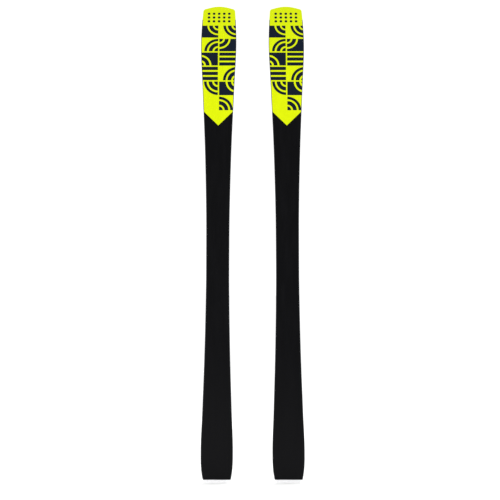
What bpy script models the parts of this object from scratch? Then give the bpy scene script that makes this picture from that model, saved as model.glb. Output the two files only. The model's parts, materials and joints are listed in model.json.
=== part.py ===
"""A pair of all-mountain alpine skis with step-in bindings, standing on their tails.

Metres. Z runs along the skis from the tails up to the tips, X across the pair and Y out of the topsheets, so the
bases face -Y. The origin is the centre of the pair's footprint. Ski stations are heights Z above the tails, and
binding places are (across, up, forward) from the boot's centre on the topsheet.
"""

import math

import bmesh
import bpy
from mathutils import Matrix, Vector

MM = 0.001
GAP = 0.25 * MM

# The pair
SKI_LENGTH = 1.750
SKI_SPACING = 0.2506
CONTACT_PLANE_Y = -0.0496
SKIS = {"left": -1, "right": 1}

# Outline: half widths at heights along one ski
TAIL_END_HALF_WIDTH = 0.0463
TAIL_WIDE_Z = 0.108
SHOVEL_WIDE_Z = 1.590
SIDECUT = (
    (TAIL_WIDE_Z, 0.0566),
    (0.247, 0.0518),
    (0.457, 0.0454),
    (0.672, 0.0418),
    (0.800, 0.0416),
    (0.966, 0.0428),
    (1.190, 0.0485),
    (1.416, 0.0581),
    (SHOVEL_WIDE_Z, 0.0654),
)
TIP_CORNER_Z = 1.728
TIP_CORNER_HALF_WIDTH = 0.0600
TIP_CROWN_FLAT = 0.014
TIP_SHOULDER_HALF_WIDTH = 0.026
TIP_SHOULDER_DROP = 1.6 * MM
TIP_CORNER_ANGLES = (8, 70)
TIP_CORNER_RADIUS = 0.0125
TIP_CROWN_DROP = 0.0105

# Profile: height of the base over the contact plane, and thickness
TAIL_CONTACT_Z = 0.090
TIP_CONTACT_Z = 1.460
CAMBER = 0.005
PLATEAU_START_Z = 0.530
PLATEAU_END_Z = 1.060
TIP_RISE = 0.058
TAIL_RISE = 0.008
THICKNESS_UNDERFOOT = 0.0125
THICKNESS_ENDS = 0.0062
SIDE_SLANT = 0.13

# Sandwich, as lifts from the base's running surface or down from the topsheet
BASE_THICKNESS = 1.35 * MM
EDGE_WIDTH = 2.0 * MM
EDGE_HEIGHT = 2.0 * MM
EDGE_FLANGE_START = 1.6 * MM
EDGE_FLANGE_WIDTH = 4.5 * MM
LAMINATE_START = 2.25 * MM
LAMINATE_THICKNESS = 0.55 * MM
CORE_START = 3.05 * MM
CORE_TOP_DEPTH = 1.65 * MM
UPPER_LAMINATE_DEPTH = 1.40 * MM
TOPSHEET_THICKNESS = 0.60 * MM
SIDEWALL_WIDTH = 5.5 * MM
SHELL_INSET = 0.35 * MM

# Ends of the layers
BASE_START_Z = 0.0090
CORE_START_Z = 0.0370
CORE_END_Z = 1.600
EDGE_END_Z = 1.690
SEAM_SIDE_Z = 1.325
SEAM_APEX_Z = 1.274
SEAM_GAP = 0.30 * MM
EDGE_START_Z = 0.0095
TIP_SIDE_END_Z = 1.722
TAIL_CORNER_RADIUS = 0.0085
TAIL_CAP_STEP = 0.3 * MM
TAIL_TONGUE_ROOT_Z = 0.004

# Binding
BOOT_CENTRE_Z = 0.800
SOLE_HALF_LENGTH = 0.1575
TOPSHEET_Y = CONTACT_PLANE_Y + CAMBER + THICKNESS_UNDERFOOT
TOE_RADIUS = 0.0365
HEEL_RADIUS = 0.0370
TOE_LUG_TOP = 0.0415
HEEL_LUG_TOP = 0.0530
UNIT_HALF_WIDTH = 0.0275
TOE_BORE_Y = 0.0280
TOE_BORE_RADIUS = 0.0113
TOE_PLATE_HALF_WIDTH = 0.0310
WAIST_CUT_RADIUS = 0.0140
WING_PIVOT = Vector((0.0210, 0.0, 0.1840))
WING_PIN_RADIUS = 3.0 * MM
WING_HUB_RADIUS = 6.6 * MM
WING_BOTTOM = 0.0245
WING_TOP = 0.0475
HEEL_PIVOT = Vector((0.0, 0.0230, -0.2220))
HEEL_STUB_RADIUS = 3.0 * MM
HEEL_HUB_RADIUS = 7.5 * MM
EAR_RADIUS = 8.5 * MM
EAR_INSIDE = 0.0225
EAR_OUTSIDE = 0.0270
HEEL_BORE_Y = 0.0455
HEEL_BORE_RADIUS = 0.0093
LEVER_PIVOT = Vector((0.0, 0.0675, -0.2060))
LEVER_PIN_RADIUS = 2.2 * MM
LEVER_BARREL_RADIUS = 5.0 * MM
LEVER_HALF_WIDTH = 0.0220
NECK_HALF_WIDTH = 0.0112
LUG_RADIUS = 5.5 * MM
LUG_INSIDE = 0.0118
LUG_OUTSIDE = 0.0165
POLE_RECESS_RADIUS = 6.0 * MM
PEDAL_PIVOT = Vector((0.0, 0.0140, -0.1460))
PEDAL_PIN_RADIUS = 2.5 * MM
PEDAL_BARREL_RADIUS = 4.5 * MM
PEDAL_HALF_WIDTH = 0.0215
FP_SCREW_Y = 0.0112
FP_SHANK_RADIUS = 2.15 * MM
FP_HEAD_RADIUS = 3.1 * MM
BRAKE_PIVOT = Vector((0.0360, 0.0180, -0.1460))
BRAKE_TILT = math.radians(20)
BRAKE_TOE_IN = math.radians(16)
BRAKE_WIRE_RADIUS = 2.5 * MM
BRAKE_ARM_LENGTH = 0.090
BRAKE_ARM_RISE = math.radians(14)
BRAKE_ELBOW_X = 0.0395
BRAKE_END_X = 0.0385
BRAKE_BEND = 5.0 * MM
BRAKE_EAR_INSIDE = 0.0250
BRAKE_EAR_OUTSIDE = 0.0345
BRAKE_EAR_TOP = 0.0240
BRAKE_EAR_Z = (-0.1545, -0.1375)
FOOT_INSIDE = 0.0350
FOOT_OUTSIDE = 0.0414
RUNNING_CLEARANCE = 0.3 * MM

# Looks: colour, roughness and metallic value
LOOKS = {
    "black_base": ((0.006, 0.006, 0.008), 0.42, 0.0),
    "yellow_base": ((0.70, 0.86, 0.02), 0.40, 0.0),
    "ground_steel": ((0.55, 0.56, 0.58), 0.30, 1.0),
    "side_plastic": ((0.02, 0.02, 0.022), 0.45, 0.0),
    "glass": ((0.55, 0.57, 0.42), 0.40, 0.0),
    "print": ((0.03, 0.035, 0.045), 0.35, 0.0),
    "wood": ((0.55, 0.38, 0.20), 0.60, 0.0),
    "filler": ((0.10, 0.10, 0.11), 0.50, 0.0),
    "aluminium": ((0.75, 0.76, 0.78), 0.35, 1.0),
    "shell": ((0.025, 0.026, 0.030), 0.38, 0.0),
    "moulded": ((0.045, 0.047, 0.052), 0.50, 0.0),
    "slider_plastic": ((0.75, 0.76, 0.77), 0.35, 0.0),
    "spring_steel": ((0.45, 0.46, 0.48), 0.30, 1.0),
    "bright_steel": ((0.60, 0.61, 0.63), 0.28, 1.0),
}

for thing in list(bpy.data.objects):
    bpy.data.objects.remove(thing, do_unlink=True)

parts = bpy.data.collections.new("alpine_skis_with_bindings")
cutters = bpy.data.collections.new("cutters")
bpy.context.scene.collection.children.link(parts)
bpy.context.scene.collection.children.link(cutters)


# ---------------------------------------------------------------- the ski's shape


def smooth(t):
    """Ease from 0 to 1 with no slope at either end."""
    t = min(1.0, max(0.0, t))
    return t * t * (3.0 - 2.0 * t)


def through(points, z):
    """Smooth curve through the points: a cubic between neighbours, with slopes from the points either side."""
    index = max(i for i, point in enumerate(points[:-1]) if z >= point[0] or i == 0)
    z0, w0 = points[index]
    z1, w1 = points[index + 1]

    def slope(i):
        if i in (0, len(points) - 1):
            return 0.0
        return (points[i + 1][1] - points[i - 1][1]) / (points[i + 1][0] - points[i - 1][0])

    span = z1 - z0
    t = (z - z0) / span
    start = (2 * t**3 - 3 * t**2 + 1) * w0 + (t**3 - 2 * t**2 + t) * span * slope(index)
    return start + (3 * t**2 - 2 * t**3) * w1 + (t**3 - t**2) * span * slope(index + 1)


def half_width(z):
    """Half of the ski's width at a height, up to the corners of the tip."""
    if z < TAIL_WIDE_Z:
        wide = SIDECUT[0][1]
        return wide - (wide - TAIL_END_HALF_WIDTH) * (1.0 - z / TAIL_WIDE_Z) ** 3
    if z <= SHOVEL_WIDE_Z:
        return through(SIDECUT, z)
    wide = SIDECUT[-1][1]
    t = (z - SHOVEL_WIDE_Z) / (TIP_CORNER_Z - SHOVEL_WIDE_Z)
    return wide - (wide - TIP_CORNER_HALF_WIDTH) * t**1.7


def base_height(z):
    """Height of the running surface over the contact plane: camber between two contact points, rocker beyond."""
    if z < TAIL_CONTACT_Z:
        return TAIL_RISE * (1.0 - z / TAIL_CONTACT_Z) ** 2
    if z > TIP_CONTACT_Z:
        return TIP_RISE * ((z - TIP_CONTACT_Z) / (SKI_LENGTH - TIP_CONTACT_Z)) ** 2
    rise = smooth((z - TAIL_CONTACT_Z) / (PLATEAU_START_Z - TAIL_CONTACT_Z))
    fall = smooth((TIP_CONTACT_Z - z) / (TIP_CONTACT_Z - PLATEAU_END_Z))
    return CAMBER * rise * fall


def thickness(z):
    """Thickness of the ski: full under the boot, thin at both ends."""
    rise = smooth((z - TAIL_CONTACT_Z) / (PLATEAU_START_Z - TAIL_CONTACT_Z))
    fall = smooth((TIP_CONTACT_Z - z) / (TIP_CONTACT_Z - PLATEAU_END_Z))
    return THICKNESS_ENDS + (THICKNESS_UNDERFOOT - THICKNESS_ENDS) * rise * fall


def on_ski(x, z, lift):
    """Point of one ski: across, height along it, and lift from the running surface along the local normal."""
    step = 0.5 * MM
    slope = (base_height(z + step) - base_height(z - step)) / (2 * step)
    normal = Vector((0.0, 1.0, -slope)).normalized()
    return Vector((x, CONTACT_PLANE_Y + base_height(z), z)) + lift * normal


def spaced(start, end, count):
    """Heights from start up to, and without, end."""
    return [start + (end - start) * i / count for i in range(count)]


STATIONS = (
    spaced(0.020, TAIL_WIDE_Z, 5)
    + spaced(TAIL_WIDE_Z, PLATEAU_START_Z, 7)
    + spaced(PLATEAU_START_Z, PLATEAU_END_Z, 7)
    + spaced(PLATEAU_END_Z, SEAM_APEX_Z - 5 * MM, 4)
    + spaced(SEAM_APEX_Z - 5 * MM, SEAM_SIDE_Z + 5 * MM, 1)
    + spaced(SEAM_SIDE_Z + 5 * MM, TIP_CONTACT_Z, 3)
    + spaced(TIP_CONTACT_Z, EDGE_END_Z - 10 * MM, 7)
    + spaced(EDGE_END_Z - 10 * MM, TIP_CORNER_Z, 2)
)


def stations_between(low, high):
    """The shared heights inside a layer, clear of its two ends, so that neighbouring layers bend at the same ones."""
    return [low] + [z for z in STATIONS if low + 4 * MM < z < high - 4 * MM] + [high]


def tip_edge(inset):
    """One half of the tip's outline, from its corner to the centre line, as (across, height) with an inset."""
    corner_x = TIP_CORNER_HALF_WIDTH - inset
    top = SKI_LENGTH - inset
    shoulder_z = top - TIP_CROWN_DROP
    radius = TIP_CORNER_RADIUS
    first, last = TIP_CORNER_ANGLES
    points = []
    for i in range(5):
        angle = math.radians(first + (last - first) * i / 4)
        across = corner_x - radius + radius * math.cos(angle)
        points.append((across, shoulder_z - radius + radius * math.sin(angle)))
    points.append((TIP_SHOULDER_HALF_WIDTH, top - TIP_SHOULDER_DROP))
    points.append((TIP_CROWN_FLAT, top))
    return points


def side_points(low, high, inset):
    """One side of a layer, upwards, as (across, height) points."""
    return [(half_width(z) - inset, z) for z in stations_between(low, high)]


def mirrored(points):
    """Whole outline from its right half, which runs upwards."""
    return points + [(-x, z) for x, z in reversed(points) if x > 1e-6]


# ---------------------------------------------------------------- modelling helpers


def material(name, look):
    """Principled material of one sub-part, from a look's colour, roughness and metallic value."""
    colour, roughness, metallic = LOOKS[look]
    finish = bpy.data.materials.new(name)
    finish.use_nodes = True
    shader = finish.node_tree.nodes["Principled BSDF"]
    shader.inputs["Base Color"].default_value = (*colour, 1.0)
    shader.inputs["Roughness"].default_value = roughness
    shader.inputs["Metallic"].default_value = metallic
    return finish


def place(name, work, parent, look, origin=None, smooth_angle=None):
    """Make a part from a bmesh in its parent's space. The origin is the point that a moving part turns about."""
    mesh = mesh_from(work, name)
    mesh.materials.append(material(name, look))
    if smooth_angle:
        mesh.shade_smooth()
        mesh.set_sharp_from_angle(angle=math.radians(smooth_angle))
    part = bpy.data.objects.new(name, mesh)
    parts.objects.link(part)
    part.parent = parent
    if origin is not None:
        mesh.transform(Matrix.Translation(-origin))
        part.location = origin
    return part


def position_name(hand, side):
    """inner faces the other ski, outer faces away from it."""
    return "inner" if side == -SKIS[hand] else "outer"


def together(works):
    """Several separate shapes in one bmesh."""
    whole = bmesh.new()
    for work in works:
        piece = mesh_from(work, "piece")
        whole.from_mesh(piece)
        bpy.data.meshes.remove(piece)
    return whole


def mesh_from(work, name):
    """Close a bmesh into a mesh with its faces pointing out."""
    bmesh.ops.recalc_face_normals(work, faces=work.faces)
    mesh = bpy.data.meshes.new(name)
    work.to_mesh(mesh)
    work.free()
    return mesh


def extruded(outline, low, high, axis):
    """Flat outline made solid between two places on an axis. Outlines are (Z, Y), (X, Z) or (X, Y) pairs."""
    work = bmesh.new()
    corners = []
    for a, b in outline:
        point = {"X": (low, b, a), "Y": (a, low, b), "Z": (a, b, low)}[axis]
        corners.append(work.verts.new(point))
    face = work.faces.new(corners)
    sweep = bmesh.ops.extrude_face_region(work, geom=[face])
    raised = [item for item in sweep["geom"] if isinstance(item, bmesh.types.BMVert)]
    shift = {"X": Vector((1, 0, 0)), "Y": Vector((0, 1, 0)), "Z": Vector((0, 0, 1))}[axis]
    bmesh.ops.translate(work, verts=raised, vec=shift * (high - low))
    return work


def cylinder(radius, low, high, centre, axis, sides=24):
    """Round bar between two places on an axis, at a centre given by its other two coordinates."""
    work = bmesh.new()
    bmesh.ops.create_cone(
        work, cap_ends=True, segments=sides, radius1=radius, radius2=radius, depth=high - low
    )
    turn = {
        "X": Matrix.Rotation(math.radians(90), 4, "Y"),
        "Y": Matrix.Rotation(math.radians(90), 4, "X"),
        "Z": Matrix.Identity(4),
    }[axis]
    middle = (low + high) / 2
    a, b = centre
    spot = {"X": (middle, a, b), "Y": (a, middle, b), "Z": (a, b, middle)}[axis]
    bmesh.ops.transform(work, matrix=Matrix.Translation(spot) @ turn, verts=work.verts)
    return work


def box(x_range, y_range, z_range):
    """Block between three pairs of limits."""
    work = bmesh.new()
    bmesh.ops.create_cube(work, size=1.0)
    size = [high - low for low, high in (x_range, y_range, z_range)]
    middle = [(high + low) / 2 for low, high in (x_range, y_range, z_range)]
    bmesh.ops.scale(work, vec=size, verts=work.verts)
    bmesh.ops.translate(work, vec=middle, verts=work.verts)
    return work


def narrowed(work, low, high, share):
    """Draw a moulded body's sides in towards its top: full width at low, the given share of it at high."""
    for vert in work.verts:
        t = min(1.0, max(0.0, (vert.co.y - low) / (high - low)))
        vert.co.x *= 1.0 - (1.0 - share) * t
    return work


def bevel(part, width, segments=2, angle=30):
    """Round a part's edges."""
    modifier = part.modifiers.new("round", "BEVEL")
    modifier.width = width
    modifier.segments = segments
    modifier.limit_method = "ANGLE"
    modifier.angle_limit = math.radians(angle)


def tool(name, work, beside):
    """A shape that cuts or joins a part, in that part's own space."""
    shape = bpy.data.objects.new(name, mesh_from(work, name))
    cutters.objects.link(shape)
    shape.hide_render = True
    shape.display_type = "WIRE"
    shape.parent = beside.parent
    return shape


def combine(part, shape, operation):
    """Boolean a shape onto a part."""
    modifier = part.modifiers.new(shape.name, "BOOLEAN")
    modifier.operation = operation
    modifier.solver = "EXACT"
    modifier.object = shape


def cut(part, label, work):
    """Take a shape out of a part."""
    combine(part, tool(f"{part.name}_{label}", work, part), "DIFFERENCE")


def add(part, label, work, rounding=0.0):
    """Join a shape to a part."""
    shape = tool(f"{part.name}_{label}", work, part)
    if rounding:
        bevel(shape, rounding)
    combine(part, shape, "UNION")


# ---------------------------------------------------------------- layers of the ski


def constant(value):
    """A lift that is the same all along the ski."""
    return lambda z: value


def below_top(depth):
    """A lift measured down from the topsheet's face."""
    return lambda z: thickness(z) - depth


def bent(outline, lift_low, lift_high):
    """Sheet with an outline given as (across, height) pairs, bent to the ski between two lifts."""
    work = extruded(outline, 0.0, 1.0, "Y")
    low = min(z for _, z in outline)
    high = max(z for _, z in outline)
    for z in STATIONS:
        if low + 4 * MM < z < high - 4 * MM:
            everything = work.verts[:] + work.edges[:] + work.faces[:]
            bmesh.ops.bisect_plane(work, geom=everything, dist=1e-6, plane_co=(0, 0, z), plane_no=(0, 0, 1))
    for vert in work.verts:
        x, side, z = vert.co
        lift = lift_high(z) if side > 0.5 else lift_low(z)
        slant = SIDE_SLANT * max(0.0, lift - EDGE_HEIGHT)
        vert.co = on_ski(x * (1.0 - slant / half_width(min(z, TIP_CORNER_Z))), z, lift)
    return work


def rail(section, side, low, high):
    """Strip along one side of the ski, -1 or 1. section gives the (inset, lift) corners at a height."""
    heights = stations_between(low, high)
    work = bmesh.new()
    face = work.faces.new([work.verts.new((corner, 0, 0)) for corner in range(len(section(low)))])
    region = [face, *face.edges, *face.verts]
    for _ in heights[1:]:
        region = bmesh.ops.extrude_face_region(work, geom=region)["geom"]
        moved = [item for item in region if isinstance(item, bmesh.types.BMVert)]
        bmesh.ops.translate(work, verts=moved, vec=(0, 1, 0))
    for vert in work.verts:
        z = heights[round(vert.co.y)]
        inset, lift = section(z)[round(vert.co.x)]
        vert.co = on_ski(side * (half_width(z) - inset), z, lift)
    return work


def edge_section(z):
    """Steel edge: a square running bar with an anchor flange over the base."""
    flange = EDGE_WIDTH + EDGE_FLANGE_WIDTH
    return [
        (0.0, 0.0),
        (EDGE_WIDTH, 0.0),
        (EDGE_WIDTH, EDGE_FLANGE_START),
        (flange, EDGE_FLANGE_START),
        (flange, EDGE_HEIGHT),
        (0.0, EDGE_HEIGHT),
    ]


def sidewall_section(z):
    """Sidewall: between the two laminates, leaning in towards the topsheet."""
    top = thickness(z) - CORE_TOP_DEPTH
    foot = SHELL_INSET + SIDE_SLANT * (CORE_START - EDGE_HEIGHT)
    shoulder = SHELL_INSET + SIDE_SLANT * (top - EDGE_HEIGHT)
    inside = foot + SIDEWALL_WIDTH
    return [(foot, CORE_START), (inside, CORE_START), (inside, top), (shoulder, top)]


def full_outline(low, inset):
    """Outline of a layer that runs from a height near the tail to the tip."""
    return mirrored(side_points(low, TIP_SIDE_END_Z, inset) + tip_edge(inset))


def make_ski(hand, ski):
    """All the layers of one ski, in its own space."""
    beside_edge = EDGE_WIDTH + GAP
    core_inset = SHELL_INSET + SIDEWALL_WIDTH + SIDE_SLANT * (CORE_START - EDGE_HEIGHT) + GAP

    main = side_points(BASE_START_Z, SEAM_SIDE_Z, beside_edge) + [(0.0, SEAM_APEX_Z)]
    layer = bent(mirrored(main), constant(0.0), constant(BASE_THICKNESS))
    place(f"{hand}_base_main", layer, ski, "black_base")

    tip = side_points(SEAM_SIDE_Z + SEAM_GAP, EDGE_END_Z, beside_edge)
    beyond_edge = EDGE_END_Z + SEAM_GAP
    tip += side_points(beyond_edge, TIP_SIDE_END_Z, 0.0) + tip_edge(0.0)
    outline = [(0.0, SEAM_APEX_Z + SEAM_GAP)] + mirrored(tip)
    layer = bent(outline, constant(0.0), constant(BASE_THICKNESS))
    place(f"{hand}_base_tip", layer, ski, "yellow_base")

    for side in (-1, 1):
        where = position_name(hand, side)
        layer = rail(edge_section, side, EDGE_START_Z, EDGE_END_Z)
        place(f"{hand}_edge_{where}", layer, ski, "ground_steel")
        layer = rail(sidewall_section, side, CORE_START_Z, CORE_END_Z)
        place(f"{hand}_sidewall_{where}", layer, ski, "side_plastic")

    outline = full_outline(BASE_START_Z, SHELL_INSET)
    lower = bent(outline, constant(LAMINATE_START), constant(LAMINATE_START + LAMINATE_THICKNESS))
    place(f"{hand}_lower_laminate", lower, ski, "glass")
    upper = bent(outline, below_top(UPPER_LAMINATE_DEPTH), below_top(TOPSHEET_THICKNESS + GAP))
    place(f"{hand}_upper_laminate", upper, ski, "glass")
    topsheet = bent(outline, below_top(TOPSHEET_THICKNESS), below_top(0.0))
    place(f"{hand}_topsheet", topsheet, ski, "print")

    inside = (constant(CORE_START), below_top(CORE_TOP_DEPTH))
    core = bent(mirrored(side_points(CORE_START_Z, CORE_END_Z, core_inset)), *inside)
    place(f"{hand}_core", core, ski, "wood")
    spacer = bent(full_outline(CORE_END_Z + GAP, SHELL_INSET), *inside)
    place(f"{hand}_tip_spacer", spacer, ski, "filler")

    corner = TAIL_CORNER_RADIUS
    wide = half_width(0.0) - SHELL_INSET
    cap = [
        (wide - corner + corner * math.sin(angle), corner - corner * math.cos(angle))
        for angle in [math.radians(22.5 * i) for i in range(4)]
    ]
    cap.append((wide, BASE_START_Z - GAP))
    cap = bent(mirrored(cap), constant(TAIL_CAP_STEP), below_top(TAIL_CAP_STEP))
    protector = place(f"{hand}_tail_protector", cap, ski, "aluminium")
    tongue = mirrored(side_points(TAIL_TONGUE_ROOT_Z, CORE_START_Z - GAP, SHELL_INSET + 1 * MM))
    add(protector, "tongue", bent(tongue, *inside))


# ---------------------------------------------------------------- toe unit


def toe_arc(radius, angles):
    """Points of the boot toe's rim at angles from straight ahead, as (across, forward)."""
    centre = SOLE_HALF_LENGTH - TOE_RADIUS
    return [(radius * math.sin(math.radians(a)), centre + radius * math.cos(math.radians(a))) for a in angles]


def heel_arc(radius, angles):
    """Points of the boot heel's rim at angles from straight behind, as (across, forward)."""
    centre = HEEL_RADIUS - SOLE_HALF_LENGTH
    return [(radius * math.sin(math.radians(a)), centre - radius * math.cos(math.radians(a))) for a in angles]


def toe_base_plate(hand, binding):
    """Moulded plate under the toe unit, stepped up under the anti-friction slider."""
    profile = [
        (0.116, GAP),
        (0.238, GAP),
        (0.238, 0.005),
        (0.232, 0.009),
        (0.169, 0.009),
        (0.165, 0.0155),
        (0.121, 0.0155),
        (0.116, 0.011),
    ]
    work = extruded(profile, -TOE_PLATE_HALF_WIDTH, TOE_PLATE_HALF_WIDTH, "X")
    plate = place(f"{hand}_toe_base_plate", work, binding, "moulded")
    bevel(plate, 1.2 * MM)
    waists = [cylinder(WAIST_CUT_RADIUS, -0.002, 0.020, (side * 0.040, 0.200), "Y") for side in (-1, 1)]
    cut(plate, "waists", together(waists))


def toe_housing(hand, binding):
    """Hollow toe housing with slots at its rear corners for the wings, and the two pins that they turn on."""
    profile = [
        (0.168, 0.0093),
        (0.231, 0.0093),
        (0.2385, 0.0140),
        (0.2385, 0.0345),
        (0.2270, 0.0465),
        (0.203, 0.0530),
        (0.176, 0.0525),
        (0.168, 0.0495),
    ]
    body = narrowed(extruded(profile, -UNIT_HALF_WIDTH, UNIT_HALF_WIDTH, "X"), 0.020, 0.0530, 0.88)
    housing = place(f"{hand}_toe_housing", body, binding, "shell", smooth_angle=35)
    bevel(housing, 2.2 * MM)
    clear = 2 * RUNNING_CLEARANCE
    height = (WING_BOTTOM - clear, WING_TOP + clear)
    slots = [box(sorted((side * 0.0135, side * 0.040)), height, (0.150, 0.1945)) for side in (-1, 1)]
    cut(housing, "wing_slots", together(slots))
    bore = cylinder(TOE_BORE_RADIUS, 0.182, 0.250, (0.0, TOE_BORE_Y), "Z")
    cut(housing, "spring_bore", bore)
    places = [(side * WING_PIVOT.x, WING_PIVOT.z) for side in (-1, 1)]
    pins = [cylinder(WING_PIN_RADIUS, 0.020, 0.050, spot, "Y", 16) for spot in places]
    add(housing, "wing_pins", together(pins))


def toe_wing(hand, side, binding):
    """Release lever: a hub on the housing's pin, an arm beside the boot's toe, and a lip over its lug."""
    hub = [
        (WING_PIVOT.x - WING_HUB_RADIUS * math.cos(a), WING_PIVOT.z + WING_HUB_RADIUS * math.sin(a))
        for a in [math.radians(36 * i) for i in range(6)]
    ]
    outer = [(0.0325, 0.172), (0.0385, 0.158), (0.0402, 0.147), (0.0388, 0.1375), (0.0352, 0.1355)]
    arm = hub + outer + toe_arc(TOE_RADIUS, (61, 51, 41, 31, 22)) + [(0.0146, 0.168)]
    lip = toe_arc(TOE_RADIUS + 1.5 * MM, (24, 33, 42, 51, 58)) + toe_arc(0.0295, (58, 48, 38, 27))
    origin = Vector((side * WING_PIVOT.x, 0.0, WING_PIVOT.z))
    arm = extruded([(side * x, z) for x, z in arm], WING_BOTTOM, WING_TOP, "Y")
    name = f"{hand}_toe_wing_{position_name(hand, side)}"
    wing = place(name, arm, binding, "shell", origin=origin, smooth_angle=35)
    bevel(wing, 1.4 * MM)
    add(wing, "lip", extruded([(side * x, z) for x, z in lip], TOE_LUG_TOP, WING_TOP - 1 * MM, "Y"))
    hole = cylinder(WING_PIN_RADIUS + RUNNING_CLEARANCE, 0.010, 0.060, (origin.x, origin.z), "Y", 16)
    cut(wing, "pin_hole", hole)


def coil(name, mean_radius, wire_radius, low, high, height, turns, binding):
    """Coil spring along Z as a round wire, given its ends and the height of its axis."""
    steps = 8
    count = turns * steps
    line = bpy.data.curves.new(name, "CURVE")
    line.dimensions = "3D"
    line.bevel_depth = wire_radius
    line.bevel_resolution = 0
    line.render_resolution_u = 0
    line.use_fill_caps = True
    spline = line.splines.new("POLY")
    spline.points.add(count)
    for i, point in enumerate(spline.points):
        angle = 2 * math.pi * i / steps
        z = low + wire_radius + (high - low - 2 * wire_radius) * i / count
        point.co = (mean_radius * math.cos(angle), height + mean_radius * math.sin(angle), z, 1.0)
    spring = bpy.data.objects.new(name, line)
    spring.parent = binding
    parts.objects.link(spring)
    line.materials.append(material(name, "spring_steel"))


def slotted_screw(name, radius, low, high, height, slot_end, binding):
    """Adjusting screw along Z with a screwdriver slot in the end that shows, which slot_end gives as -1 or 1."""
    origin = Vector((0.0, height, (low + high) / 2))
    screw = place(name, cylinder(radius, low, high, (0.0, height), "Z"), binding, "bright_steel", origin, 35)
    face = high if slot_end > 0 else low
    depth = sorted((face - slot_end * 1.8 * MM, face + slot_end * 1.0 * MM))
    half = 0.09 * radius + 0.4 * MM
    cut(screw, "slot", box((-radius * 0.72, radius * 0.72), (height - half, height + half), depth))
    return screw


def make_toe(hand, binding):
    """Toe unit of one binding."""
    toe_base_plate(hand, binding)
    toe_housing(hand, binding)
    for side in (-1, 1):
        toe_wing(hand, side, binding)
    coil(f"{hand}_toe_spring", 0.0083, 0.0016, 0.1855, 0.2205, TOE_BORE_Y, 5, binding)
    slotted_screw(f"{hand}_toe_din_screw", 0.0109, 0.2215, 0.2370, TOE_BORE_Y, 1, binding)
    afd = box((-0.024, 0.024), (0.0158, 0.0220), (0.1235, 0.1625))
    slider = place(f"{hand}_afd_slider", afd, binding, "slider_plastic")
    bevel(slider, 1.5 * MM)


# ---------------------------------------------------------------- heel unit


def heel_track(hand, binding):
    """T rail that the heel unit's carriage runs on."""
    foot, head = 0.0190, 0.0220
    outline = [
        (-foot, GAP),
        (foot, GAP),
        (foot, 0.0035),
        (head, 0.0035),
        (head, 0.0075),
        (-head, 0.0075),
        (-head, 0.0035),
        (-foot, 0.0035),
    ]
    place(f"{hand}_heel_track", extruded(outline, -0.256, -0.1565, "Z"), binding, "bright_steel")


def heel_carriage(hand, binding):
    """Carriage with jaws round the rail, two ears for the heel body, and a bore for the pressure screw."""
    half = [
        (0.0224, 0.0078),
        (0.0224, 0.0031),
        (0.0193, 0.0031),
        (0.0193, 0.0009),
        (0.0270, 0.0009),
        (0.0270, 0.0120),
        (0.0245, 0.0145),
    ]
    outline = half + [(-x, y) for x, y in reversed(half)]
    origin = Vector((0.0, 0.0, -0.205))
    work = extruded(outline, -0.240, -0.170, "Z")
    carriage = place(f"{hand}_heel_carriage", work, binding, "moulded", origin=origin)
    ear = [(HEEL_PIVOT.z - EAR_RADIUS, 0.0125), (HEEL_PIVOT.z + EAR_RADIUS, 0.0125)]
    for i in range(9):
        angle = math.radians(22.5 * i)
        ear.append((HEEL_PIVOT.z + EAR_RADIUS * math.cos(angle), HEEL_PIVOT.y + EAR_RADIUS * math.sin(angle)))
    ears = [extruded(ear, *sorted((side * EAR_INSIDE, side * EAR_OUTSIDE)), "X") for side in (-1, 1)]
    add(carriage, "ears", together(ears))
    hole = cylinder(HEEL_STUB_RADIUS + RUNNING_CLEARANCE, -0.040, 0.040, (HEEL_PIVOT.y, HEEL_PIVOT.z), "X", 16)
    cut(carriage, "pivot_hole", hole)
    bore = cylinder(FP_SHANK_RADIUS + RUNNING_CLEARANCE, -0.250, -0.185, (0.0, FP_SCREW_Y), "Z", 12)
    cut(carriage, "screw_bore", bore)


def forward_pressure_screw(hand, binding):
    """Screw in the carriage that engages the rail: its head shows behind the heel unit."""
    head = cylinder(FP_HEAD_RADIUS, -0.2435, -0.2403, (0.0, FP_SCREW_Y), "Z", 16)
    origin = Vector((0.0, FP_SCREW_Y, -0.2403))
    screw = place(f"{hand}_forward_pressure_screw", head, binding, "bright_steel", origin, 35)
    add(screw, "shank", cylinder(FP_SHANK_RADIUS, -0.2415, -0.200, (0.0, FP_SCREW_Y), "Z", 12))
    slot = box((-0.0024, 0.0024), (FP_SCREW_Y - 0.0005, FP_SCREW_Y + 0.0005), (-0.2445, -0.2422))
    cut(screw, "slot", slot)


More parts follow.
